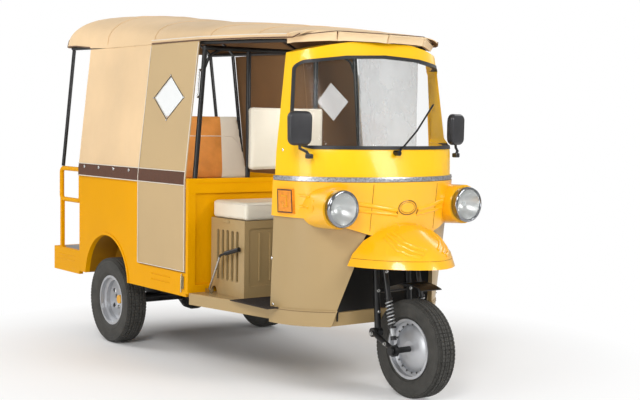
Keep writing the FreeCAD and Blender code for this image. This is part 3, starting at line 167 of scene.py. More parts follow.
def finish(name, colour, roughness, metallic=0.0, coat=0.0, specular=0.35, sheen=0.0, alpha=1.0,
           mottle=0.04, mottle_scale=6.0, grain=0.0, grain_scale=400.0):
    """A surface with a slightly uneven colour and gloss, and a fine grain in relief."""
    made = bpy.data.materials.new(name)
    made.use_nodes = True
    tree = made.node_tree
    shader = tree.nodes["Principled BSDF"]
    shader.inputs["Metallic"].default_value = metallic
    shader.inputs["Coat Weight"].default_value = coat
    shader.inputs["Coat Roughness"].default_value = 0.08
    shader.inputs["Specular IOR Level"].default_value = specular
    shader.inputs["Sheen Weight"].default_value = sheen
    shader.inputs["Alpha"].default_value = alpha
    at = tree.nodes.new("ShaderNodeTexCoord")
    clouds = tree.nodes.new("ShaderNodeTexNoise")
    clouds.name = "clouds"
    clouds.inputs["Scale"].default_value = mottle_scale
    clouds.inputs["Detail"].default_value = 5.0
    tree.links.new(at.outputs["Object"], clouds.inputs["Vector"])
    ramp = tree.nodes.new("ShaderNodeValToRGB")
    ramp.name = "colour"
    darker, lighter = ramp.color_ramp.elements
    darker.position, lighter.position = 0.3, 0.7
    darker.color = (*[c * (1 - mottle) for c in colour], 1)
    lighter.color = (*[min(1, c * (1 + mottle)) for c in colour], 1)
    tree.links.new(clouds.outputs["Fac"], ramp.inputs["Fac"])
    tree.links.new(ramp.outputs["Color"], shader.inputs["Base Color"])
    gloss = tree.nodes.new("ShaderNodeMapRange")
    gloss.inputs["To Min"].default_value = roughness * 0.85
    gloss.inputs["To Max"].default_value = min(1, roughness * 1.15)
    tree.links.new(clouds.outputs["Fac"], gloss.inputs["Value"])
    tree.links.new(gloss.outputs[0], shader.inputs["Roughness"])
    if grain:
        relief_on(made, grain, grain_scale)
    return made


def relief_on(made, depth, scale, detail=3.0, stretch=(1, 1, 1)):
    """Adds a noise relief of a depth in metres to a finish, over any relief that it has."""
    tree = made.node_tree
    shader = tree.nodes["Principled BSDF"]
    at = tree.nodes.new("ShaderNodeTexCoord")
    turn = tree.nodes.new("ShaderNodeMapping")
    turn.inputs["Scale"].default_value = stretch
    pattern = tree.nodes.new("ShaderNodeTexNoise")
    pattern.inputs["Scale"].default_value = scale
    pattern.inputs["Detail"].default_value = detail
    bump = tree.nodes.new("ShaderNodeBump")
    bump.inputs["Distance"].default_value = depth
    tree.links.new(at.outputs["Object"], turn.inputs["Vector"])
    tree.links.new(turn.outputs["Vector"], pattern.inputs["Vector"])
    tree.links.new(pattern.outputs["Fac"], bump.inputs["Height"])
    if shader.inputs["Normal"].links:
        tree.links.new(shader.inputs["Normal"].links[0].from_socket, bump.inputs["Normal"])
    tree.links.new(bump.outputs["Normal"], shader.inputs["Normal"])


def place_piece(form, name, body, finishes, stands_for=(), crease=32):
    """Makes a finished piece of a form, rounded to the eye except over its creases."""
    limit = math.radians(crease)
    for face in form.faces:
        face.smooth = True
    for edge in form.edges:
        edge.smooth = len(edge.link_faces) == 2 and edge.calc_face_angle(0) < limit
    mesh = bpy.data.meshes.new(name)
    form.to_mesh(mesh)
    form.free()
    for made in finishes:
        mesh.materials.append(made)
    piece = bpy.data.objects.new(name, mesh)
    scene.collection.objects.link(piece)
    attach(piece, body)
    for node in stands_for:
        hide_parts(node)
    return piece


def middle(node):
    """The middle of a CAD piece's box."""
    low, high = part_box(node)
    return (low + high) / 2


def add_turned(form, profile, centre, axis, steps=48, closed=True, material=0):
    """Adds a shape spun about an axis, from (along, out) pairs of its closed or open section."""
    axis, centre = Vector(axis).normalized(), Vector(centre)
    side = axis.orthogonal().normalized()
    before = set(form.faces)
    ends = [form.verts.new(centre + axis * along + side * out) for along, out in profile]
    runs = zip(ends, ends[1:] + ends[:1] if closed else ends[1:])
    edges = [form.edges.new(run) for run in runs]
    bmesh.ops.spin(form, geom=ends + edges, cent=centre, axis=axis, angle=2 * math.pi, steps=steps,
                   use_merge=True)
    for face in set(form.faces) - before:
        face.material_index = material


def close_up(form, reach=0.00001):
    """Joins the seams and poles of a form and turns its faces outwards."""
    bmesh.ops.remove_doubles(form, verts=form.verts, dist=reach)
    bmesh.ops.dissolve_degenerate(form, edges=form.edges, dist=reach)
    bmesh.ops.recalc_face_normals(form, faces=form.faces)


rubber = finish("tyre_rubber", tint(62, 61, 58), 0.66, mottle=0.25, mottle_scale=22, grain=0.0010,
                grain_scale=180)
tread_steps, block_height, block_gap = 76, 0.0042, 0.0028
shoulder_depth, least_block = 0.011, 0.00003
groove_depth, groove_slope = 0.0065, 0.0004
grooves = [(0.0125, 0.0165), (0.0335, 0.0375)]
# Shoulder and sidewall as (in from the widest place, down from the crown), then the foot at the
# rim as (in from the widest place, up from the bead).
sidewall = [(0.010, 0.0022), (0.0045, 0.0062), (0.0018, 0.0125), (0, 0.026), (0, 0.028),
            (0.0012, 0.030), (0.0004, 0.048), (0.0010, 0.056), (0.0028, 0.070), (0.0018, 0.072),
            (0.0022, 0.076)]
bead_radius = 0.1445
foot = [(0.0075, 0.010), (0.0135, 0.0), (0.020, -0.004), (0.020, -0.010)]
for node, body in (("tyre_front", "front_wheel"), ("tyre_rear_left", "rear_wheel_left"),
                   ("tyre_rear_right", "rear_wheel_right")):
    low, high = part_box(node)
    axle = middle(node)
    half = (high.y - low.y) / 2
    crown = (high.z - low.z) / 2 - block_height
    groove_foot = crown - groove_depth
    right_half = [(0.0, crown)]
    for start, end in grooves:
        right_half += [(start, crown), (start + groove_slope, groove_foot),
                       (end - groove_slope, groove_foot), (end, crown)]
    right_half += [(half - inset, crown - drop) for inset, drop in sidewall]
    right_half += [(half - inset, bead_radius + rise) for inset, rise in foot]
    form = bmesh.new()
    add_turned(form, right_half + [(-along, out) for along, out in right_half[:0:-1]], axle,
               (0, 1, 0), tread_steps)
    close_up(form)
    ribs = [face for face in form.faces
            if (face.calc_center_median() - axle).xz.length > crown - shoulder_depth
            and abs(face.normal.y) < 0.93 and face.calc_area() > least_block]
    bmesh.ops.inset_individual(form, faces=ribs, thickness=block_gap, depth=block_height,
                               use_even_offset=True)
    place_piece(form, node + "_tread", body, [rubber], [node], 28)

# The wheels: pressed steel rims in silver paint. The rear ones have dished discs with hand holes
# and five nuts, and the front one is closed by its brake drum, with a ring of small bolts.


def merged(node):
    """The surface of a CAD piece as one mesh, with its triangles joined and its flats whole."""
    form = bmesh.new()
    form.from_mesh(nodes[node].data)
    bmesh.ops.remove_doubles(form, verts=form.verts, dist=0.00002)
    bmesh.ops.dissolve_limit(form, angle_limit=math.radians(0.8), verts=form.verts,
                             edges=form.edges)
    return form


def faces_of(verts):
    """The faces at some vertices, such as those that an operator has just made."""
    return list({face for vert in verts for face in vert.link_faces})


def paint_new(verts, material):
    """Gives a finish to the faces that an operator has just made."""
    for face in faces_of(verts):
        face.material_index = material


def add_bolts(form, places, axis, across_flats, height, material=0):
    """Adds hexagon heads, each on a washer, standing on a surface along an axis."""
    turn = Vector((0, 0, 1)).rotation_difference(Vector(axis)).to_matrix().to_4x4()
    washer = (across_flats * 0.78, height * 0.25, 0.0, 20)
    head = (across_flats * 0.58, height, height * 0.25, 6)
    for spot in places:
        for radius, thick, lift, sides in (washer, head):
            at = Matrix.Translation(spot) @ turn @ Matrix.Translation((0, 0, lift + thick / 2))
            made = bmesh.ops.create_cone(form, cap_ends=True, segments=sides, radius1=radius,
                                         radius2=radius * 0.92, depth=thick, matrix=at)
            paint_new(made["verts"], material)


surfaces = {}


def touch(node, start, direction):
    """Where a line from a point first meets the surface of a CAD piece."""
    if node not in surfaces:
        form = bmesh.new()
        form.from_mesh(nodes[node].data)
        surfaces[node] = BVHTree.FromBMesh(form)
        form.free()
    return surfaces[node].ray_cast(Vector(start), Vector(direction).normalized())[0]


def bolt_circle(node, radius, count, outward, first=0.0):
    """Places round the axle of a wheel, on the face of its rim that looks outwards."""
    spots = []
    for k in range(count):
        turn = 2 * math.pi * k / count + first
        spot = middle(node) + Vector((math.cos(turn), 0, math.sin(turn))) * radius
        spot.y = outward
        spots.append(touch(node, spot, (0, -outward, 0)))
    return [spot for spot in spots if spot]


silver = finish("wheel_silver", tint(186, 188, 192), 0.34, metallic=0.6, mottle=0.05,
                grain=0.00015, grain_scale=300)
bright_steel = finish("bright_steel", tint(190, 190, 188), 0.28, metallic=1.0, mottle=0.06,
                      mottle_scale=40)
# A bolt's size is its width across the flats and the height of its head.
nut_count, nut_circle, first_nut, nut_size = 5, 0.057, 0.4, (0.017, 0.009)
for word, outward in (("left", 1), ("right", -1)):
    node = "rim_rear_" + word
    form = merged(node)
    nuts = bolt_circle(node, nut_circle, nut_count, outward, first_nut)
    add_bolts(form, nuts, (0, outward, 0), *nut_size, 1)
    place_piece(form, node + "_painted", "rear_wheel_" + word, [silver, bright_steel],
                [node])
drum_bolts, drum_circle, drum_bolt_size = 20, 0.117, (0.0075, 0.003)
drum_steel = finish("drum_bolts", tint(96, 96, 94), 0.45, metallic=0.7, mottle=0.1,
                    mottle_scale=60)
form = merged("rim_front")
for outward in (1, -1):
    ring = bolt_circle("rim_front", drum_circle, drum_bolts, outward)
    add_bolts(form, ring, (0, outward, 0), *drum_bolt_size, 1)
place_piece(form, "rim_front_painted", "front_wheel", [silver, drum_steel], ["rim_front"])

# The running gear: welded and forged steel in satin black, with yellow grease caps on the axle.
# The axle hangs on two leaf springs under the chassis rails, whose neck carries the steering head.
black = finish("black_enamel", tint(26, 26, 27), 0.38, coat=0.15, mottle=0.25, mottle_scale=14,
               grain=0.0003, grain_scale=120)
cap_yellow = finish("cap_yellow", tint(226, 164, 20), 0.35, coat=0.3)
cast_iron = finish("cast_iron", tint(70, 70, 70), 0.6, metallic=0.4, grain=0.001, grain_scale=90)


def dress(node, body, finishes, crease=32, paint=None):
    """Gives a CAD piece its finish on a joined copy. paint picks one by the middle of a face."""
    form = merged(node)
    if paint:
        for face in form.faces:
            face.material_index = paint(face.calc_center_median())
    return place_piece(form, node + "_finished", body, finishes, [node], crease)


cap_length = 0.028
caps_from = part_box("rear_axle")[1].y - cap_length
dress("rear_axle", "body", [black, cap_yellow],
      paint=lambda at: int(abs(at.y) > caps_from))
dress("leaf_springs", "body", [black])
dress("chassis", "body", [black])
dress("engine", "body", [cast_iron])
spring_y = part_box("leaf_springs")[1].y - 0.031
strap_x, strap_top = middle("rim_rear_left").x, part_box("rear_axle")[1].z + 0.028
strap_half_length, strap_half_width, strap_nut_size = 0.034, 0.022, (0.015, 0.010)
strap_nuts = [Vector((strap_x + x_step, side * spring_y + y_step, strap_top)) for side in (1, -1)
              for x_step in (-strap_half_length, strap_half_length)
              for y_step in (-strap_half_width, strap_half_width)]
form = bmesh.new()
add_bolts(form, strap_nuts, (0, 0, 1), *strap_nut_size)
place_piece(form, "spring_clamp_nuts", "body", [bright_steel])

# The rear body: pressed steel panels in yellow enamel, welded to the floor, with rolled lips round
# the wheel arches, two ribs pressed out along each end of the skirt, and a latch at each door post.


def add_tube(form, points, radius, closed=False, material=0, sides=3):
    """Adds a round bar, bead or wire along a line of points."""
    curve = bpy.data.curves.new("line", "CURVE")
    curve.dimensions = "3D"
    curve.bevel_depth = radius
    curve.bevel_resolution = sides
    curve.use_fill_caps = True
    line = curve.splines.new("POLY")
    line.points.add(len(points) - 1)
    for point, place in zip(line.points, points):
        point.co = (*place, 1)
    line.use_cyclic_u = closed
    holder = bpy.data.objects.new("line", curve)
    mesh = bpy.data.meshes.new_from_object(holder)
    for face in mesh.polygons:
        face.material_index = material
    form.from_mesh(mesh)
    bpy.data.objects.remove(holder)
    bpy.data.meshes.remove(mesh)
    bpy.data.curves.remove(curve)


def add_block(form, corner, across, edge):
    """Adds a block between two opposite corners, with rounded edges."""
    low, high = [Vector([pick(pair) for pair in zip(corner, across)]) for pick in (min, max)]
    at = Matrix.Translation((low + high) / 2) @ Matrix.Diagonal((*(high - low), 1))
    made = bmesh.ops.create_cube(form, size=1.0, matrix=at)
    edges = list({line for vert in made["verts"] for line in vert.link_edges})
    bmesh.ops.bevel(form, geom=edges, offset=edge, offset_type="OFFSET", affect="EDGES",
                    segments=2, profile=0.5, material=-1)


def walk(corners, steps, closed=False):
    """Points at even steps along the straight runs between corners."""
    ends = corners[1:] + corners[:1] if closed else corners[1:]
    points = [Vector(a).lerp(Vector(b), k / steps) for a, b in zip(corners, ends)
              for k in range(steps)]
    return points if closed else points + [Vector(corners[-1])]


def side_touch(node, side, x, z, lift=0.0):
    """A place just off the outer face of a piece as met from its side, or none if it is open."""
    spot = touch(node, (x, side, z), (0, -side, 0))
    return spot + Vector((0, side * lift, 0)) if spot else None


def side_line(node, side, corners, steps, lift=0.0, closed=False):
    """Places just off the outer face of a piece, along straight runs between (x, z) corners."""
    spots = [side_touch(node, side, x, z, lift) for x, z in walk(corners, steps, closed)]
    return [spot for spot in spots if spot]


yellow = finish("yellow_enamel", tint(226, 159, 0), 0.36, specular=0.06, mottle=0.03,
                mottle_scale=3, grain=0.00012, grain_scale=500)
relief_on(yellow, 0.0012, 5.0, 2.0)
for node in ("side_panel_left", "side_panel_right", "rear_skirt", "rear_panel", "bulkhead",
             "rear_rails"):
    dress(node, "body", [yellow])
latch_x, latch_z, latch_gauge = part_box("side_panel_right")[1].x - 0.030, 0.455, 0.005
latch_y = side_touch("side_panel_left", 1, latch_x, latch_z).y + 0.001
plate_half_length, plate_half_height, plate_edge = 0.011, 0.034, 0.002
# The bolt's bar as (out from the plate's foot, up from its middle).
latch_bar, latch_bar_radius = ((0.008, 0.045), (0.011, 0.020), (0.011, -0.050)), 0.004
latch_screws, latch_screw_size = (-0.026, 0.026), (0.007, 0.003)
form = bmesh.new()
for side in (1, -1):
    plate = side * (latch_y + latch_gauge)
    add_block(form, (latch_x - plate_half_length, side * latch_y, latch_z - plate_half_height),
              (latch_x + plate_half_length, plate, latch_z + plate_half_height), plate_edge)
    bar = [(latch_x, side * (latch_y + out), latch_z + rise) for out, rise in latch_bar]
    add_tube(form, bar, latch_bar_radius)
    screws = [(latch_x, plate, latch_z + rise) for rise in latch_screws]
    add_bolts(form, screws, (0, side, 0), *latch_screw_size)
worn_zinc = finish("worn_zinc", tint(168, 158, 128), 0.35, metallic=0.8, mottle=0.15,
                   mottle_scale=60)
place_piece(form, "panel_latches", "body", [worn_zinc])
rib_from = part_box("rear_skirt")[0].x + 0.060
rib_heights, rib_length, rib_radius, rib_sink = (0.463, 0.436), 0.240, 0.0042, 0.0022
form = bmesh.new()
for side in (1, -1):
    for height in rib_heights:
        ends = [(rib_from, height), (rib_from + rib_length, height)]
        add_tube(form, side_line("rear_skirt", side, ends, 12, -rib_sink), rib_radius)
place_piece(form, "skirt_ribs", "body", [yellow])

# The luggage deck and floors: thin aluminium sheet on the passenger side, with a row of pressed
# ribs for grip, over wheel tubs in yellow darkened as painted shade. The well under the cowl is
# black.
deck_sheet = finish("deck_sheet", tint(168, 171, 176), 0.45, metallic=0.6, mottle=0.05,
                    mottle_scale=9, grain=0.0002, grain_scale=200)
# The tubs are the body's yellow darkened, as painted shade under the wheel arches.
tub_yellow_painted_shade = finish("tub_yellow_painted_shade", tint(150, 104, 8), 0.5, mottle=0.12, mottle_scale=6)
tub_black = finish("tub_black", tint(20, 18, 16), 0.6, mottle=0.2)
for node in ("rear_floor", "luggage_deck"):
    dress(node, "body", [deck_sheet])
dress("wheel_tubs", "body", [tub_yellow_painted_shade])
dress("wheel_well", "body", [tub_black])

# The roof frame: bent black tube under the canopy, with flat bows, and the partition hoop behind
# the driver. Each side of the hoop has a short steel grab bar on two feet.
for node in ("roof_frame", "roof_bows", "partition_hoop"):
    dress(node, "body", [black])
bar_x, bar_foot, bar_top, bar_stand, bar_radius = 0.140, 1.427, 1.566, 0.011, 0.0042
foot_length, foot_radius = 0.013, 0.0068
form = bmesh.new()
for side in (1, -1):
    line = side_line("partition_hoop", side, [(bar_x, bar_foot), (bar_x, bar_top)], 4, bar_stand)
    add_tube(form, line, bar_radius)
    for spot in (line[0], line[-1]):
        add_tube(form, [spot, spot - Vector((0, side * foot_length, 0))], foot_radius)
place_piece(form, "grab_bars", "body", [bright_steel])

# The canopy: one sheet of cream canvas over the bows, with sewn cross seams and a corded hem that
# is drawn tight over the side rails. Over each door the hem is rolled and has a white piping.
canvas = finish("canvas", tint(221, 190, 147), 0.78, sheen=0.15, mottle=0.14, mottle_scale=1.5,
                grain=0.0006, grain_scale=900)
relief_on(canvas, 0.010, 2.3, 4.0, (1.0, 1.0, 0.45))
# The inner side of the canvas is darker brown: painted shade inside the canopy.
painted_inner_shade = finish("canvas_painted_inner_shade", tint(116, 86, 54), 0.85, mottle=0.1, mottle_scale=5,
                grain=0.0006, grain_scale=900)
piping = finish("piping", tint(218, 210, 196), 0.45, mottle=0.04, mottle_scale=60)
trim_brown = finish("trim_brown", tint(88, 55, 38), 0.55, mottle=0.12, mottle_scale=30,
                    grain=0.0006, grain_scale=700)


def swell(at, depth, scale, seed):
    """Soft uneven swelling of cloth at a place."""
    return depth * noise.fractal(Vector(at) * scale + Vector((seed, 0, 0)), 0.9, 2.0, 3)


def turn_faces(form, faces, outer):
    """Turns the faces of a sheet the same way, with their fronts to its outer side."""
    bmesh.ops.recalc_face_normals(form, faces=faces)
    if sum((face.normal for face in faces), Vector()).dot(outer) < 0:
        bmesh.ops.reverse_faces(form, faces=faces)


def sheet_piece(form, name, gauge, finishes, stands_for):
    """Makes a finished piece of a cloth form: rounded, and given its thickness inwards."""
    piece = place_piece(form, name, "body", finishes, stands_for, 60)
    smooth = piece.modifiers.new("rounding", "SUBSURF")
    smooth.levels = smooth.render_levels = 1
    wall = piece.modifiers.new("thickness", "SOLIDIFY")
    wall.thickness = gauge
    wall.offset = -1
    # The inner face takes the second finish, the painted inner shade of the canvas.
    wall.material_offset = 1
    wall.material_offset_rim = 0
    return piece


roof_low, roof_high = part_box("roof_canopy")
roof_core_z, hem_share = 1.58, 0.998
columns, rows, end_crowding = 150, 56, 0.035
roof_swell = (0.0085, 2.3, 3.0)
swell_from_z, swell_rise = 1.70, 0.10
tail_x, nose_x = roof_low.x + 0.0005, roof_high.x - 0.100


def roof_touch(x, turn):
    """Outer surface of the roof at a station, on a ray from its core at an angle from upright."""
    ray = Vector((0, math.sin(turn), math.cos(turn)))
    return touch("roof_canopy", Vector((x, 0, roof_core_z)) + ray * 1.5, -ray)


def roof_turn(x):
    """Largest angle from upright at which the roof is still met at a station."""
    low_turn, high_turn = 0.0, math.radians(100)
    for _ in range(14):
        half_way = (low_turn + high_turn) / 2
        hit = roof_touch(x, half_way)
        if hit and hit.z > roof_core_z:
            low_turn = half_way
        else:
            high_turn = half_way
    return low_turn


def roof_seam(x, share):
    """Places over the roof at a station, from one hem to the other."""
    reach = roof_turn(x) * share
    return [roof_touch(x, reach * (k / 30 - 1)) for k in range(61)]


form = bmesh.new()
grid = bmesh.ops.create_grid(form, x_segments=columns, y_segments=rows, size=1.0)
turns = {}
for vert in grid["verts"]:
    along, over = (vert.co.x + 1) / 2, vert.co.y
    x = tail_x + (nose_x - tail_x) * (along - end_crowding * math.sin(2 * math.pi * along))
    station = round(along, 4)
    if station not in turns:
        turns[station] = roof_turn(x)
    vert.co = roof_touch(x, over * turns[station] * 0.9995)
bmesh.ops.smooth_vert(form, verts=[v for v in form.verts if not v.is_boundary], factor=0.5,
                      use_axis_x=False, use_axis_y=True, use_axis_z=True)
turn_faces(form, form.faces[:], Vector((0, 0, 1)))
form.normal_update()
for vert in form.verts:
    if not vert.is_boundary:
        crown_share = max(0.0, min(1.0, (vert.co.z - swell_from_z) / swell_rise))
        vert.co += vert.normal * (swell(vert.co, *roof_swell) - 0.001) * crown_share
tail = [v for v in form.verts if v.is_boundary and v.co.x < tail_x + 0.002]
tail_rim = [edge for edge in form.edges if edge.is_boundary and all(v in tail for v in edge.verts)]
made = bmesh.ops.extrude_edge_only(form, edges=tail_rim)
tail_foot_z = min(v.co.z for v in tail) - 0.004
for vert in [item for item in made["geom"] if isinstance(item, bmesh.types.BMVert)]:
    vert.co.z = tail_foot_z
    vert.co.x += 0.004
bmesh.ops.recalc_face_normals(form, faces=form.faces)
roof = sheet_piece(form, "roof_canvas", 0.004, [canvas, painted_inner_shade], ["roof_canopy"])
corded = ((tail_x, -1.150), (-0.395, nose_x))
door_from, door_to = -0.39, 0.87
seam_stations, seam_share, seam_radius = (-0.93, -0.36, 0.22, 0.62), 0.97, 0.0018
cord_radius, tail_cord_radius, roll_radius, piping_radius = 0.0030, 0.0032, 0.0105, 0.0028
form = bmesh.new()
stations = [tail_x + 0.004 + (nose_x - tail_x - 0.008) * k / 90 for k in range(91)]
for side in (1, -1):
    edge = [roof_touch(x, side * roof_turn(x) * hem_share) for x in stations]
    for start, end in corded:
        cord = [spot + Vector((0, side * 0.001, 0.002)) for spot in edge if start < spot.x < end]
        add_tube(form, cord, cord_radius, material=1)
    roll = [spot + Vector((0, -side * 0.004, 0.013)) for spot in edge
            if door_from < spot.x < door_to]
    add_tube(form, roll, roll_radius)
    welt = [spot + Vector((0, side * 0.007, 0.006)) for spot in roll]
    add_tube(form, welt, piping_radius, material=2)
tail_cord = [spot - Vector((0.002, 0, 0)) for spot in roof_seam(tail_x + 0.002, hem_share)]
add_tube(form, tail_cord, tail_cord_radius, material=1)
for x in seam_stations:
    seam = [spot + Vector((0, 0, swell(spot, *roof_swell))) for spot in roof_seam(x, seam_share)]
    add_tube(form, seam, seam_radius)
place_piece(form, "roof_hem", "body", [canvas, trim_brown, piping])

# The canvas sides: a fixed curtain behind the door and a rolled-down flap over the door itself, on
# both sides. Each has a brown band with white piping. The curtains have press studs, and the flaps
# a clear diamond window.
# The flaps' canvas is a darker copy of the canopy's canvas, as painted shade.
canvas_flap_painted_shade = finish("canvas_flap_painted_shade", tint(190, 164, 122), 0.75, mottle=0.03, mottle_scale=2.0,
                     grain=0.0006, grain_scale=900)
relief_on(canvas_flap_painted_shade, 0.006, 2.6, 4.0, (1.0, 1.0, 0.4))


def cut_grid(form, low, high, pitch):
    """Cuts the faces of a hanging sheet along a square grid, so that it can swell."""
    for axis in (0, 2):
        for k in range(1, int((high[axis] - low[axis]) / pitch)):
            at, normal = Vector(), Vector()
            at[axis], normal[axis] = low[axis] + k * pitch, 1.0
            bmesh.ops.bisect_plane(form, geom=form.verts[:] + form.edges[:] + form.faces[:],
                                   plane_co=at, plane_no=normal)


def cloth_side(node, side, pitch, depth, seed):
    """One side of a CAD curtain as cloth: cut into a fine grid and swelled a little, unevenly."""
    form = merged(node)
    away = [vert for vert in form.verts if vert.co.y * side < 0]
    bmesh.ops.delete(form, geom=away, context="VERTS")
    cut_grid(form, *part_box(node), pitch)
    for vert in form.verts:
        flat = Vector((vert.co.x, 0, vert.co.z * 0.5))
        vert.co.y -= side * (abs(swell(flat, depth, 4.5, seed)) + 0.0003)
    form.normal_update()
    # Faces turned inwards take the second finish, the painted inner shade.
    for face in form.faces:
        face.material_index = int(face.normal.y * side < -0.5)
    return form


def add_stud(form, at, radius, flat=1.0, material=0, segments=16):
    """Adds a round stud or rivet head, flattened towards the vehicle's side."""
    shape = Matrix.Translation(at) @ Matrix.Diagonal((1, flat, 1, 1))
    made = bmesh.ops.create_uvsphere(form, u_segments=segments, v_segments=segments // 2,
                                     radius=radius, matrix=shape)
    paint_new(made["verts"], material)


cut_pitch, side_swell = 0.035, 0.0035
band_low, band_high, band_gauge, band_piping, edge_piping = 0.966, 1.038, 0.0016, 0.0026, 0.0022
stud_count, stud_radius, stud_flat, stud_drop = 4, 0.0095, 0.55, 0.018
for node, cloth, label in (("side_canopies", canvas, "side_canvas"),
                           ("side_flaps", canvas_flap_painted_shade, "side_flap")):
    low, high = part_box(node)
    left_x, right_x, foot_z, top_z = low.x + 0.002, high.x - 0.002, low.z + 0.004, high.z - 0.008
    for side, word, seed in ((1, "left", 5.0), (-1, "right", 9.0)):
        form = cloth_side(node, side, cut_pitch, side_swell, seed)
        piece = place_piece(form, label + "_" + word, "body", [cloth, painted_inner_shade], [node], 50)
        trim = bmesh.new()
        band = bmesh.ops.create_grid(trim, x_segments=24, y_segments=2, size=0.5)
        for vert in band["verts"]:
            x = left_x + (right_x - left_x) * (vert.co.x + 0.5)
            z = band_low + (band_high - band_low) * (vert.co.y + 0.5)
            vert.co = side_touch(node, side, x, z, 0.0004)
        bmesh.ops.recalc_face_normals(trim, faces=trim.faces)
        bmesh.ops.solidify(trim, geom=trim.faces[:], thickness=band_gauge)
        for z in (band_low, band_high):
            line = side_line(node, side, [(left_x, z), (right_x, z)], 24, 0.001)
            add_tube(trim, line, band_piping, material=1)
        if node == "side_canopies":
            for k in range(stud_count):
                x = left_x + (right_x - left_x) * (k + 0.45) / stud_count
                spot = side_touch(node, side, x, band_high - stud_drop, 0.002)
                add_stud(trim, spot, stud_radius, flat=stud_flat, material=2)
        else:
            runs = [([(x, foot_z), (x, top_z)], 30) for x in (left_x, right_x)]
            runs += [([(left_x, foot_z), (right_x, foot_z)], 12)]
            for ends, steps in runs:
                line = side_line(node, side, ends, steps, 0.0005)
                add_tube(trim, line, edge_piping, material=1)
        place_piece(trim, label + "_trim_" + word, "body",
                    [trim_brown, piping, bright_steel])

clear_sheet = finish("clear_sheet", tint(236, 240, 240), 0.12, alpha=0.32, mottle=0.02,
                     mottle_scale=5)
relief_on(clear_sheet, 0.004, 9.0, 2.0)
dress("flap_windows", "body", [clear_sheet])
dark_edge = finish("dark_edge", tint(46, 42, 38), 0.5)
window_low, window_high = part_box("flap_windows")
window_at, window_half = middle("flap_windows"), (window_high - window_low) / 2
edging_share, edging_radius, eyelet_share, eyelet_radius = 1.035, 0.0018, 1.06, 0.005


def diamond(share):
    """Corners of the window's diamond as (x, z), at a share of its size."""
    x, z = window_half.x * share, window_half.z * share
    return [(window_at.x + x, window_at.z), (window_at.x, window_at.z + z),
            (window_at.x - x, window_at.z), (window_at.x, window_at.z - z)]


form = bmesh.new()
for side in (1, -1):
    edging = side_line("side_flaps", side, diamond(edging_share), 6, 0.0005, closed=True)
    add_tube(form, edging, edging_radius, closed=True)
    for spot in side_line("side_flaps", side, diamond(eyelet_share), 1, 0.0005, closed=True):
        add_stud(form, spot, eyelet_radius, material=1, segments=12)
place_piece(form, "window_edges", "body", [dark_edge, bright_steel])

# The seats: plywood and foam under stitched vinyl, crowned by their filling, with a welt round
# each top. The rear bench and its back are brown with cream sides, and the driver's are cream.


def inflated(node, voxel, cap, shrink, pressure=4.0):
    """A cushion grown from a CAD solid: remeshed, blown up as cloth, and kept in its space."""
    low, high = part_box(node)
    centre = middle(node)
    form = merged(node)
    for vert in form.verts:
        for axis in range(3):
            out = vert.co[axis] - centre[axis]
            vert.co[axis] -= math.copysign(min(shrink, abs(out)), out)
    mesh = bpy.data.meshes.new(node + "_start")
    form.to_mesh(mesh)
    form.free()
    holder = bpy.data.objects.new(node + "_start", mesh)
    scene.collection.objects.link(holder)
    remesh = holder.modifiers.new("remesh", "REMESH")
    remesh.mode = "VOXEL"
    remesh.voxel_size = voxel
    graph = bpy.context.evaluated_depsgraph_get()
    start = bpy.data.meshes.new_from_object(holder.evaluated_get(graph))
    holder.modifiers.clear()
    holder.data = start
    blown = start
    cloth = holder.modifiers.new("cloth", "CLOTH")
    cloth.settings.use_pressure = True
    cloth.settings.uniform_pressure_force = pressure
    cloth.settings.effector_weights.gravity = 0.0
    cloth.settings.quality = 5
    cloth.collision_settings.use_collision = False
    for step in range(1, 21):
        scene.frame_set(step)
    graph = bpy.context.evaluated_depsgraph_get()
    blown = bpy.data.meshes.new_from_object(holder.evaluated_get(graph))
    form = bmesh.new()
    form.from_mesh(start)
    for vert, before, after in zip(form.verts, start.vertices, blown.vertices):
        move = after.co - before.co
        at = before.co + (move if move.length < cap else move.normalized() * cap)
        vert.co = [min(max(at[axis], low[axis] + 0.0005), high[axis] - 0.0005)
                   for axis in range(3)]
    bpy.data.objects.remove(holder)
    bmesh.ops.smooth_vert(form, verts=form.verts, factor=0.5, use_axis_x=True, use_axis_y=True,
                          use_axis_z=True)
    scene.frame_set(1)
    return form


def add_welt(form, low, high, at, axis, radius, material=1, steps=200):
    """Adds a sewn welt round a cushion, in the plane that lies at a height along an axis."""
    tree = BVHTree.FromBMesh(form)
    core, half = (low + high) / 2, (high - low) / 2
    core[axis] = at
    first, second = [k for k in range(3) if k != axis]
    line = []
    for k in range(steps):
        turn = 2 * math.pi * k / steps
        corner = max(abs(math.cos(turn)), abs(math.sin(turn)))
        ray = Vector()
        ray[first] = half[first] * math.cos(turn) / corner
        ray[second] = half[second] * math.sin(turn) / corner
        hit = tree.ray_cast(core + ray * 1.5, -ray.normalized())[0]
        if hit:
            line.append(hit)
    add_tube(form, line, radius, closed=True, material=material)


seat_brown = finish("seat_brown", tint(208, 138, 66), 0.33, coat=0.3, mottle=0.16, mottle_scale=9,
                    grain=0.0005, grain_scale=500)
relief_on(seat_brown, 0.004, 22.0, 3.0)
seat_cream = finish("seat_cream", tint(226, 219, 202), 0.42, coat=0.15, mottle=0.03,
                    mottle_scale=6, grain=0.0004, grain_scale=600)
relief_on(seat_cream, 0.002, 6.0, 2.0)
cream_from, welt_radius = 0.353, 0.0028
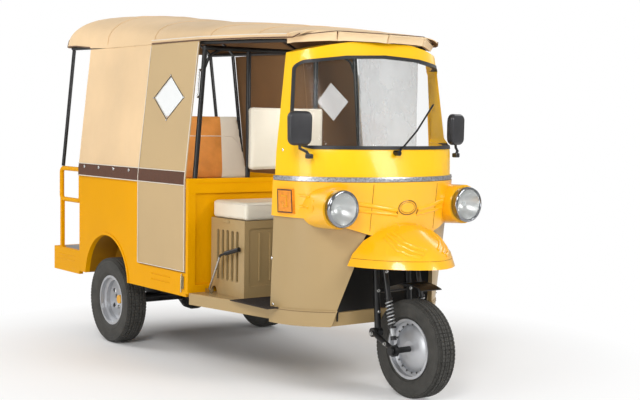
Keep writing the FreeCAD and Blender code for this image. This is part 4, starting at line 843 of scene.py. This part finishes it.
# Voxel, largest swelling, first shrinking, and the welt's axis and its share of the way along it.
cushions = {
    "rear_cushion": (0.009, 0.016, 0.004, 2, 0.80),
    "rear_backrest": (0.008, 0.008, 0.003, 0, 0.80),
    "driver_cushion": (0.0065, 0.006, 0.003, 2, 0.86),
    "driver_backrest": (0.006, 0.007, 0.003, 0, 0.72),
}
for node, (voxel, cap, shrink, axis, share) in cushions.items():
    low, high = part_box(node)
    form = inflated(node, voxel, cap, shrink)
    add_welt(form, low, high, low[axis] + (high[axis] - low[axis]) * share, axis, welt_radius)
    slot, top_vinyl = "seat", seat_cream
    if node.startswith("rear"):
        slot, top_vinyl = "seat_brown", seat_brown
        for face in form.faces:
            if face.material_index == 0 and abs(face.calc_center_median().y) > cream_from:
                face.material_index = 2
    piece = place_piece(form, node + "_soft", "body", [top_vinyl, piping, seat_cream],
                        [node], 80)

# The cab: painted steel floor with a dark ribbed mat, the driver's seat box with a small tab on
# each side, and the parking brake lever with its black grip.
beige = finish("beige_enamel", tint(170, 145, 102), 0.36, coat=0.15, mottle=0.03, mottle_scale=3,
               grain=0.00015, grain_scale=400)
relief_on(beige, 0.0010, 5.0, 2.0)
for node in ("cab_floor", "driver_seat_box", "rear_seat_box", "cowl_lower"):
    dress(node, "body", [beige])
box_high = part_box("driver_seat_box")[1]
tab_x, tab_half, tab_top, tab_height, tab_gauge = 0.300, 0.028, box_high.z - 0.004, 0.016, 0.006
form = bmesh.new()
for side in (1, -1):
    y = side_touch("driver_seat_box", side, tab_x, tab_top - tab_height / 2).y
    add_block(form, (tab_x - tab_half, y, tab_top - tab_height),
              (tab_x + tab_half, y + side * tab_gauge, tab_top), 0.002)
place_piece(form, "seat_tabs", "body", [beige])
mat = finish("floor_mat", tint(44, 38, 36), 0.75, mottle=0.15, mottle_scale=25, grain=0.001,
             grain_scale=150)
floor_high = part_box("cab_floor")[1]
mat_y, mat_gauge, mat_edge, mat_round = 0.545, 0.004, 0.012, 0.0015
mat_ribs, mat_rib_radius, mat_rib_y = 12, 0.002, mat_y - 0.02
mat_rear, mat_front = box_high.x + mat_edge, floor_high.x - mat_edge
mat_top = floor_high.z + mat_gauge
form = bmesh.new()
add_block(form, (mat_rear, -mat_y, floor_high.z), (mat_front, mat_y, mat_top), mat_round)
for k in range(mat_ribs):
    x = mat_rear + mat_edge + (mat_front - mat_rear - 2 * mat_edge) * k / (mat_ribs - 1)
    add_tube(form, [(x, -mat_rib_y, mat_top), (x, mat_rib_y, mat_top)], mat_rib_radius)
place_piece(form, "cab_mat", "body", [mat])
lever_low, lever_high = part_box("hand_lever")
grip_x, grip_z = lever_low.x + 0.115, lever_high.z - 0.075
dress("hand_lever", "body", [bright_steel, black],
      paint=lambda at: int(at.x > grip_x and at.z > grip_z))

# The cab's nose: beige steel below with a crease along its foot, yellow above the metal belt
# moulding, which is riveted on. Plated screws hold the cowl to its posts.
# The upper cowl's yellow is a lighter copy of the body's yellow enamel: painted light on the top of
# the cab.
header_yellow_painted_light = finish("header_yellow_painted_light", tint(248, 192, 14), 0.3, coat=0.2, specular=0.3,
                       mottle=0.03, mottle_scale=3, grain=0.00012, grain_scale=500)
chrome = finish("chrome", tint(225, 226, 228), 0.09, metallic=1.0, mottle=0.03, mottle_scale=25)
dress("cowl_upper", "body", [header_yellow_painted_light])
screw_radius, screw_flat, rivet_radius = 0.0075, 0.5, 0.0032
screws = (("cowl_lower", 0.772, 0.646), ("cowl_upper", 0.862, 1.172), ("cowl_lower", 0.772, 0.42))
form = bmesh.new()
for side in (1, -1):
    for node, x, z in screws:
        spot = side_touch(node, side, x, z)
        add_stud(form, spot, screw_radius, flat=screw_flat, segments=14)
place_piece(form, "cowl_screws", "body", [chrome])
seam_brown = finish("seam_brown", tint(120, 98, 66), 0.6)
crease_from, crease_to, crease_z, crease_end_y, crease_radius = 0.748, 1.078, 0.402, 0.25, 0.0016
form = bmesh.new()
for side in (1, -1):
    ends = [(crease_from, crease_z), (crease_to, crease_z)]
    line = side_line("cowl_lower", side, ends, 39, 0.0003)
    add_tube(form, [spot for spot in line if abs(spot.y) > crease_end_y], crease_radius)
place_piece(form, "cowl_crease", "body", [seam_brown])
belt_metal = finish("belt_metal", tint(176, 178, 184), 0.34, metallic=0.9, specular=0.2,
                    mottle=0.45, mottle_scale=110)
dress("belt_trim", "body", [belt_metal])
rivet_count, rivets_to, rivet_z = 31, 0.45, middle("belt_trim").z
form = bmesh.new()
for k in range(rivet_count):
    y = rivets_to * (2 * k / (rivet_count - 1) - 1)
    spot = touch("belt_trim", (2, y, rivet_z), (-1, 0, 0))
    add_stud(form, spot, rivet_radius, segments=10)
place_piece(form, "belt_rivets", "body", [bright_steel])

# The windscreen: one curved sheet of glass in a rubber seal. The seal is black outside, and its
# inner faces at the sides are painted with the cowl. The wiper is black plastic.
glass = finish("screen_glass", tint(110, 118, 116), 0.03, alpha=0.05, mottle=0.02, mottle_scale=2)
dress("windscreen", "body", [glass])
seal_rubber = finish("seal_rubber", tint(36, 37, 40), 0.45, mottle=0.1, mottle_scale=40)
seal = dress("windscreen_seal", "body", [seal_rubber, header_yellow_painted_light])
# The seal's inner faces take the cowl's lighter yellow, with its painted light.
painted_to_x, facing_in = 0.92, -0.3
for face in seal.data.polygons:
    if face.center.x < painted_to_x and face.normal.y * face.center.y < facing_in:
        face.material_index = 1
plastic = finish("black_plastic", tint(24, 24, 26), 0.3, coat=0.1, mottle=0.1, mottle_scale=20,
                 grain=0.0004, grain_scale=400)
dress("wiper", "body", [plastic])

# The mirrors: moulded black shells round a flat glass, each on a bent black arm from a small block
# that is bolted to the cowl beside the windscreen. The heads are turned to the driver.
mirror_glass = finish("mirror_glass", tint(205, 208, 212), 0.03, metallic=1.0, mottle=0.02)
# The shells are dark grey, lighter than the black plastic, as a painted highlight of the sheen on
# their backs.
mirror_shell = finish("mirror_shell", tint(44, 44, 47), 0.42, coat=0.25, mottle=0.1,
                      mottle_scale=20, grain=0.0004, grain_scale=400)
mirror_low, mirror_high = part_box("mirrors")
head_x = {1: 0.966, -1: 1.034}
head_depth, head_width, head_height = 0.036, 0.122, 0.160
head_corner, head_round, head_bulge, head_turn = 0.030, 0.0150, 0.006, math.radians(14)
narrow_foot, narrow_top, pane_width, pane_height = 0.10, 0.04, 0.84 * head_width, 0.86 * head_height
arm_radius, block_edge, stand_bolt_size = 0.0072, 0.005, (0.010, 0.004)
half = Vector((head_depth, head_width, head_height)) / 2
form = bmesh.new()
for side in (1, -1):
    head = Vector((head_x[side], side * (mirror_high.y - half.y), mirror_high.z - half.z))
    stand = Vector((mirror_high.x - 0.030, side * 0.462, mirror_low.z + 0.012))
    shell = bmesh.new()
    bmesh.ops.create_cube(shell, size=1.0, matrix=Matrix.Diagonal((*(half * 2), 1)))
    corners = [edge for edge in shell.edges
               if abs((edge.verts[0].co - edge.verts[1].co).normalized().x) > 0.9]
    bmesh.ops.bevel(shell, geom=corners, offset=head_corner, offset_type="OFFSET",
                    affect="EDGES", segments=6, profile=0.5)
    rims = [edge for edge in shell.edges if edge.calc_face_angle(0) > 1.2]
    bmesh.ops.bevel(shell, geom=rims, offset=head_round, offset_type="OFFSET", affect="EDGES",
                    segments=5, profile=0.5)
    for vert in shell.verts:
        share = vert.co.z / half.z
        vert.co.y *= 1.0 - narrow_foot * max(0.0, -share) - narrow_top * max(0.0, share)
        if vert.co.x > 0:
            vert.co.x += head_bulge * (1 - share * share)
    turn = Matrix.Translation(head) @ Matrix.Rotation(side * head_turn, 4, "Z")
    bmesh.ops.transform(shell, matrix=turn, verts=shell.verts)
    mesh = bpy.data.meshes.new("mirror_shell")
    shell.to_mesh(mesh)
    shell.free()
    form.from_mesh(mesh)
    bpy.data.meshes.remove(mesh)
    pane = bmesh.ops.create_grid(form, x_segments=6, y_segments=10, size=0.5)
    for vert in pane["verts"]:
        across, rise = vert.co.x * pane_width, vert.co.y * pane_height
        pinch = 1.0 - 0.25 * (abs(vert.co.y) * 2) ** 6
        vert.co = turn @ Vector((-half.x - 0.0012, across * pinch, rise))
    paint_new(pane["verts"], 1)
    arm = [stand, stand + Vector((-0.004, side * 0.014, 0.020)),
           head + Vector((0.004, 0, -half.z - 0.014)), head + Vector((0, 0, -half.z + 0.020))]
    add_tube(form, arm, arm_radius)
    add_block(form, stand - Vector((0.016, 0.014, 0.013)), stand + Vector((0.016, 0.014, 0.010)),
              block_edge)
    add_bolts(form, [stand + Vector((0.017, 0, 0))], (1, 0, 0), *stand_bolt_size)
place_piece(form, "mirror_pair", "body", [mirror_shell, mirror_glass],
            ["mirrors"])

# The mask: a moulded orange-yellow panel with the lamp pods and a blank oval badge. Two pressed
# lines run from the badge to each lamp, across a seam. Each pod has two ribs at its side, and a
# bead that closes the joint behind it.
orange = finish("orange_enamel", tint(248, 182, 16), 0.30, coat=0.6, mottle=0.03, mottle_scale=3,
                grain=0.00012, grain_scale=500)
relief_on(orange, 0.0012, 5.0, 2.0)
dress("front_mask", "body", [orange], 40)
# Dark for the seams of the mask and the fender, and as painted shade in the recesses at the inner
# ends of the pressed lines.
seam_dark_and_recess_shade = finish("seam_dark_and_recess_shade", tint(150, 98, 14), 0.7)
badge_metal = finish("badge_metal", tint(150, 112, 60), 0.3, metallic=0.7, mottle=0.1,
                     mottle_scale=60)


def mask_line(ends, lift, steps=24):
    """Places on the mask's face along a line between (y, z) ends, lifted off it."""
    spots = [touch("front_mask", (2, y, z), (-1, 0, 0)) for y, z in walk(ends, steps)]
    return [spot + Vector((lift, 0, 0)) for spot in spots if spot and spot.x > 0.95]


# The seam, the upper and the lower pressed line, and the dark end between those two, which is
# painted shade in a small recess: (y, z) ends, lift, radius, finish and roundness.
pressed = [
    ((0.198, 1.018), (0.198, 0.795), 0.0002, 0.0014, 0, 3),
    ((0.260, 0.926), (0.066, 0.893), -0.0060, 0.0125, 1, 5),
    ((0.255, 0.893), (0.060, 0.870), -0.0035, 0.0085, 1, 5),
    ((0.066, 0.893), (0.058, 0.872), -0.0010, 0.0045, 0, 5),
]
bead_x, bead_y, bead_foot, bead_rise = 1.0770, 0.4655, 0.890, 0.055
bead_radius, pod_rib_radius = 0.0055, 0.0060
pod_ribs = ([(0.966, 0.962), (1.032, 0.956)], [(0.966, 0.910), (1.032, 0.906)])
form = bmesh.new()
for side in (1, -1):
    for (y1, z1), (y2, z2), lift, radius, material, sides in pressed:
        line = mask_line([(side * y1, z1), (side * y2, z2)], lift)
        add_tube(form, line, radius, material=material, sides=sides)
    bead = [Vector((bead_x, side * bead_y, bead_foot + bead_rise * k / 11)) for k in range(12)]
    add_tube(form, bead, bead_radius, material=1, sides=10)
    for ends in pod_ribs:
        line = side_line("front_mask", side, ends, 10, -0.0010)
        add_tube(form, line, pod_rib_radius, material=1, sides=5)
badge_z = 0.904
for half_width, half_height, radius in ((0.054, 0.034, 0.0030), (0.043, 0.025, 0.0013)):
    line = []
    for k in range(48):
        turn = 2 * math.pi * k / 48
        spot = (2, half_width * math.cos(turn), badge_z + half_height * math.sin(turn))
        line.append(touch("front_mask", spot, (-1, 0, 0)))
    add_tube(form, line, radius, closed=True, material=2)
place_piece(form, "mask_lines", "body", [seam_dark_and_recess_shade, orange, badge_metal])

# The headlamps: a chrome bezel, darkened as painted shade in its reflections, round a bulging
# glass lens with moulded flutes, and behind it a bright metal bowl with its bulb. Each is pressed
# into the end of its pod.
lens = finish("lens_glass", tint(226, 232, 232), 0.06, alpha=0.26, mottle=0.03, mottle_scale=20)
tree = lens.node_tree
flutes = tree.nodes.new("ShaderNodeTexWave")
flutes.bands_direction = "Y"
flutes.inputs["Scale"].default_value = 28.0
flutes.inputs["Distortion"].default_value = 1.5
flute_bump = tree.nodes.new("ShaderNodeBump")
flute_bump.inputs["Distance"].default_value = 0.0025
flute_at = tree.nodes.new("ShaderNodeTexCoord")
tree.links.new(flute_at.outputs["Object"], flutes.inputs["Vector"])
tree.links.new(flutes.outputs["Fac"], flute_bump.inputs["Height"])
tree.links.new(flute_bump.outputs["Normal"], tree.nodes["Principled BSDF"].inputs["Normal"])
bowl = finish("lamp_bowl", tint(204, 205, 204), 0.36, metallic=1.0, mottle=0.04, mottle_scale=30)
# The bezel's chrome is darkened: painted shade in its reflections.
bezel_chrome_painted_shade = finish("bezel_chrome", tint(150, 152, 156), 0.14, metallic=1.0, mottle=0.08,
                     mottle_scale=30)
lamp_low, lamp_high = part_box("headlamps")
lamp_radius, lamp_z = (lamp_high.z - lamp_low.z) / 2, (lamp_high.z + lamp_low.z) / 2
lamp_y, face_x = lamp_high.y - lamp_radius, lamp_high.x - 0.016
lens_radius, lens_bulge = lamp_radius - 0.011, 0.016
bowl_radius, bowl_depth = lamp_radius - 0.013, 0.066
bulb_radius, bulb_back = 0.013, 0.035
bezel_section = [(along, lamp_radius - inset) for along, inset in
                 ((-0.045, 0.004), (-0.010, 0.001), (-0.002, 0), (0.004, 0.0015), (0.0075, 0.006),
                  (0.0075, 0.010), (0.002, 0.013), (-0.045, 0.013))]
lens_section = [(lens_bulge * math.cos(math.pi * k / 16) - 0.001,
                 lens_radius * math.sin(math.pi * k / 16)) for k in range(9)]
bowl_section = [(-0.070 + bowl_depth * (k / 8) ** 2, bowl_radius * k / 8) for k in range(9)]
form = bmesh.new()
for side in (1, -1):
    centre = Vector((face_x, side * lamp_y, lamp_z))
    add_turned(form, bezel_section, centre, (1, 0, 0), 64)
    add_turned(form, lens_section, centre, (1, 0, 0), closed=False, material=1)
    add_turned(form, bowl_section, centre, (1, 0, 0), closed=False, material=2)
    bulb_at = Matrix.Translation(centre - Vector((bulb_back, 0, 0)))
    bulb = bmesh.ops.create_uvsphere(form, u_segments=16, v_segments=10, radius=bulb_radius,
                                     matrix=bulb_at)
    paint_new(bulb["verts"], 1)
bmesh.ops.remove_doubles(form, verts=form.verts, dist=0.00002)
place_piece(form, "headlamp_set", "body", [bezel_chrome_painted_shade, lens, bowl], ["headlamps"], 45)

# The side indicators: amber lenses in dark rubber edges behind the lamps, each with a raised
# yellow mark. The housing round them is painted with the mask.
amber = finish("amber_lens", tint(226, 140, 38), 0.2, coat=0.4, mottle=0.15, mottle_scale=60)
amber_from, amber_to = 0.85, 0.955
dress("indicators", "body", [amber, orange],
      paint=lambda at: int(not amber_from < at.x < amber_to))
indicator_low, indicator_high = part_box("indicators")
edge_rear, edge_front = 0.860, 0.944
edge_foot, edge_top = indicator_low.z + 0.006, indicator_high.z - 0.006
edge_corners = [(edge_rear, edge_foot), (edge_front, edge_foot), (edge_front, edge_top),
                (edge_rear, edge_top)]
edging_radius, mark_radius = 0.0028, 0.003
mark = [(0.885, 0.955), (0.915, 0.955), (0.915, 0.905), (0.895, 0.905), (0.895, 0.925)]
form = bmesh.new()
for side in (1, -1):
    edging = side_line("indicators", side, edge_corners, 6, closed=True)
    add_tube(form, edging, edging_radius, closed=True)
    add_tube(form, side_line("indicators", side, mark, 1), mark_radius, material=1)
place_piece(form, "indicator_edges", "body", [seal_rubber, cap_yellow])

# The nose fender: a moulded guard over the front wheel, screwed under the mask, with three raised
# ribs to each side and a dark seam round its lower part.
dress("nose_fender", "body", [orange], 40)
fender_core = Vector((1.18, 0.0, 0.62))
fender_ribs = [
    [(1.232, 0.164, 0.772), (1.315, 0.152, 0.718), (1.367, 0.119, 0.696), (1.402, 0.070, 0.687)],
    [(1.226, 0.143, 0.783), (1.309, 0.132, 0.740), (1.360, 0.099, 0.715), (1.401, 0.052, 0.696)],
    [(1.236, 0.118, 0.790), (1.314, 0.106, 0.751), (1.353, 0.077, 0.732), (1.392, 0.030, 0.712)],
]
rib_radius, rib_sink = 0.0098, 0.0040
form = bmesh.new()
for side in (1, -1):
    for stops in fender_ribs:
        line = []
        for at in walk([(x, side * y, z) for x, y, z in stops], 10)[:-1]:
            ray = (at - fender_core).normalized()
            hit = touch("nose_fender", fender_core + ray, -ray)
            if hit:
                line.append(hit - ray * rib_sink)
        add_tube(form, line, rib_radius, sides=5)
seam_core, seam_reach, seam_clear = Vector((1.16, 0, 0.668)), math.radians(118), 0.1
seam_radius = 0.0011
line = []
for k in range(61):
    turn = seam_reach * (k / 30 - 1)
    ray = Vector((math.cos(turn), math.sin(turn), 0))
    hit = touch("nose_fender", seam_core + ray, -ray)
    if hit and (hit.xy - seam_core.xy).dot(ray.xy) > seam_clear:
        line.append(hit)
add_tube(form, line, seam_radius, material=1)
place_piece(form, "fender_ribs", "body", [orange, seam_dark_and_recess_shade])

# The visor: four padded boards under cream cloth, bound in brown, that lean over the windscreen.
# The cloth runs on from their upper edges to the front of the canopy.
visor_cream = finish("visor_cream", tint(232, 205, 165), 0.6, coat=0.1, mottle=0.03,
                     mottle_scale=5, grain=0.0005, grain_scale=700)
relief_on(visor_cream, 0.003, 6.0, 2.0)
board_gauge, board_gap, board_puff, board_lean = 0.012, 0.006, 0.005, 0.018
binding_radius, cloth_gauge = 0.0028, 0.003
# Where the boards meet: x, y, the height of the upper edge, and how tall the board is there.
joints = [(0.836, -0.462, 1.713, 0.030), (0.985, -0.271, 1.739, 0.043), (1.035, 0.0, 1.735, 0.040),
          (0.985, 0.271, 1.739, 0.043), (0.836, 0.462, 1.713, 0.030)]


def board_at(near, far, along, rise=1.0):
    """A place between two joints, at a share of the way along and of the board's height."""
    x, y, top, tall = [a + (b - a) * along for a, b in zip(near, far)]
    return Vector((x, y, top - tall * (1 - rise)))


form = bmesh.new()
for far, near in zip(joints, joints[1:]):
    near = (near[0], near[1] - board_gap / 2, *near[2:])
    far = (far[0], far[1] + board_gap / 2, *far[2:])
    back = Vector((far[1] - near[1], near[0] - far[0], 0)).normalized()
    made = bmesh.ops.create_grid(form, x_segments=16, y_segments=4, size=0.5)
    for vert in made["verts"]:
        along, rise = vert.co.x + 0.5, vert.co.y + 0.5
        puff = board_puff * (1 - (2 * along - 1) ** 6) * (1 - (2 * rise - 1) ** 4)
        vert.co = board_at(near, far, along, rise) + back * (puff + board_lean * (1 - rise))
    faces = faces_of(made["verts"])
    turn_faces(form, faces, back)
    binding = [board_at(near, far, along, rise) + back * (board_lean * (1 - rise))
               for along, rise in walk([(0, 0), (1, 0), (1, 1), (0, 1)], 8, closed=True)]
    bmesh.ops.solidify(form, geom=faces, thickness=board_gauge)
    add_tube(form, binding, binding_radius, closed=True, material=1)
cloth_end_x = roof_high.x - 0.104
for far, near in zip(joints, joints[1:]):
    made = bmesh.ops.create_grid(form, x_segments=12, y_segments=2, size=0.5)
    for vert in made["verts"]:
        along, ahead = vert.co.x + 0.5, vert.co.y + 0.5
        front = board_at(near, far, along) - Vector((0, 0, 0.002))
        rear = Vector((min(front.x - 0.004, cloth_end_x), front.y, front.z + 0.004))
        rear.z = max(rear.z, touch("roof_canopy", (rear.x, rear.y, 3), (0, 0, -1)).z)
        vert.co = rear.lerp(front, ahead)
    faces = faces_of(made["verts"])
    turn_faces(form, faces, Vector((0, 0, 1)))
    bmesh.ops.solidify(form, geom=faces, thickness=cloth_gauge)
place_piece(form, "visor_boards", "body", [visor_cream, trim_brown], ["visor"], 45)

# The door curtain: one clear plastic sheet, creased by long folding, that hangs from the roof rail
# in the left doorway.
form = merged("door_curtain")
low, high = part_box("door_curtain")
curtain_pitch, curtain_swell = 0.03, (0.004, 5.0, 12.0)
cut_grid(form, low, high, curtain_pitch)
for vert in form.verts:
    vert.co.y += swell((vert.co.x, 0, vert.co.z), *curtain_swell)
curtain_clear = finish("curtain_clear", tint(210, 215, 217), 0.18, coat=0.3, alpha=0.36,
                       mottle=0.10, mottle_scale=7)
relief_on(curtain_clear, 0.012, 9.0, 4.0)
relief_on(curtain_clear, 0.006, 8.0, 4.0)
piece = place_piece(form, "door_curtain_sheet", "body", [curtain_clear],
                    ["door_curtain"], 60)

# The steering and front suspension: handlebar and column, forged fork with leading links, coil
# springs over dampers, and a plain black mudguard on the fork.
grip_rubber = finish("grip_rubber", tint(30, 30, 31), 0.7, mottle=0.1, grain=0.0015,
                     grain_scale=200)
for node, slot, made in (("steering_column", "frame_black", black),
                         ("handlebar_grips", "plastic_black", grip_rubber),
                         ("fork", "axle_black", black), ("leading_links", "axle_black", black),
                         ("front_mudguard", "plastic_black", plastic)):
    dress(node, "steering", [made])
spring_steel = finish("spring_steel", tint(176, 178, 180), 0.32, metallic=0.5, mottle=0.1,
                      mottle_scale=50)
shock_low, shock_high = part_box("front_shocks")
coils, coil_steps, coil_radius, wire = 7.5, 20, 0.0158, 0.0036
coil_from, coil_length = 0.42, 0.38
# The damper's tubes and collars: start and end as shares of the strut, radius and finish.
strut = ((0.0, 0.39, 0.0140, 0), (0.39, 0.80, 0.0085, 0), (0.385, 0.415, 0.0195, 0),
         (0.80, 0.83, 0.0195, 0), (0.83, 0.95, 0.0130, 1), (0.94, 1.0, 0.0150, 0))
form = bmesh.new()
for side in (1, -1):
    y = side * (shock_high.y - 0.026)
    top = Vector((shock_low.x + 0.0155, y, shock_high.z))
    run = Vector((shock_high.x - 0.0135, y + side * 0.002, shock_low.z)) - top
    tilt = Vector((0, 0, 1)).rotation_difference(run.normalized()).to_matrix()
    helix = []
    for k in range(int(coils * coil_steps) + 1):
        turn = 2 * math.pi * k / coil_steps
        around = tilt @ Vector((math.cos(turn) * coil_radius, math.sin(turn) * coil_radius, 0))
        helix.append(top + run * (coil_from + coil_length * k / (coils * coil_steps)) + around)
    add_tube(form, helix, wire, material=1)
    for start, end, radius, material in strut:
        add_tube(form, [top + run * start, top + run * end], radius, material=material, sides=6)
place_piece(form, "front_springs", "steering", [black, spring_steel], ["front_shocks"])
links_low, links_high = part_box("leading_links")
link_bolts = ((links_low.x + 0.024, links_high.z - 0.026), (middle("rim_front").x - 0.055, 0.262))
leg_y, leg_bolts = 0.101, (0.60, 0.50, 0.40)
link_bolt_size, leg_bolt_size = (0.013, 0.006), (0.011, 0.005)
form = bmesh.new()
for side in (1, -1):
    for x, z in link_bolts:
        spot = side_touch("leading_links", side, x, z)
        if spot:
            add_bolts(form, [spot], (0, side, 0), *link_bolt_size)
    for height in leg_bolts:
        spot = touch("fork", (3.0, side * leg_y, height), (-1, 0, 0))
        if spot:
            add_bolts(form, [spot], (1, 0, 0), *leg_bolt_size)
place_piece(form, "fork_bolts", "steering", [bright_steel])
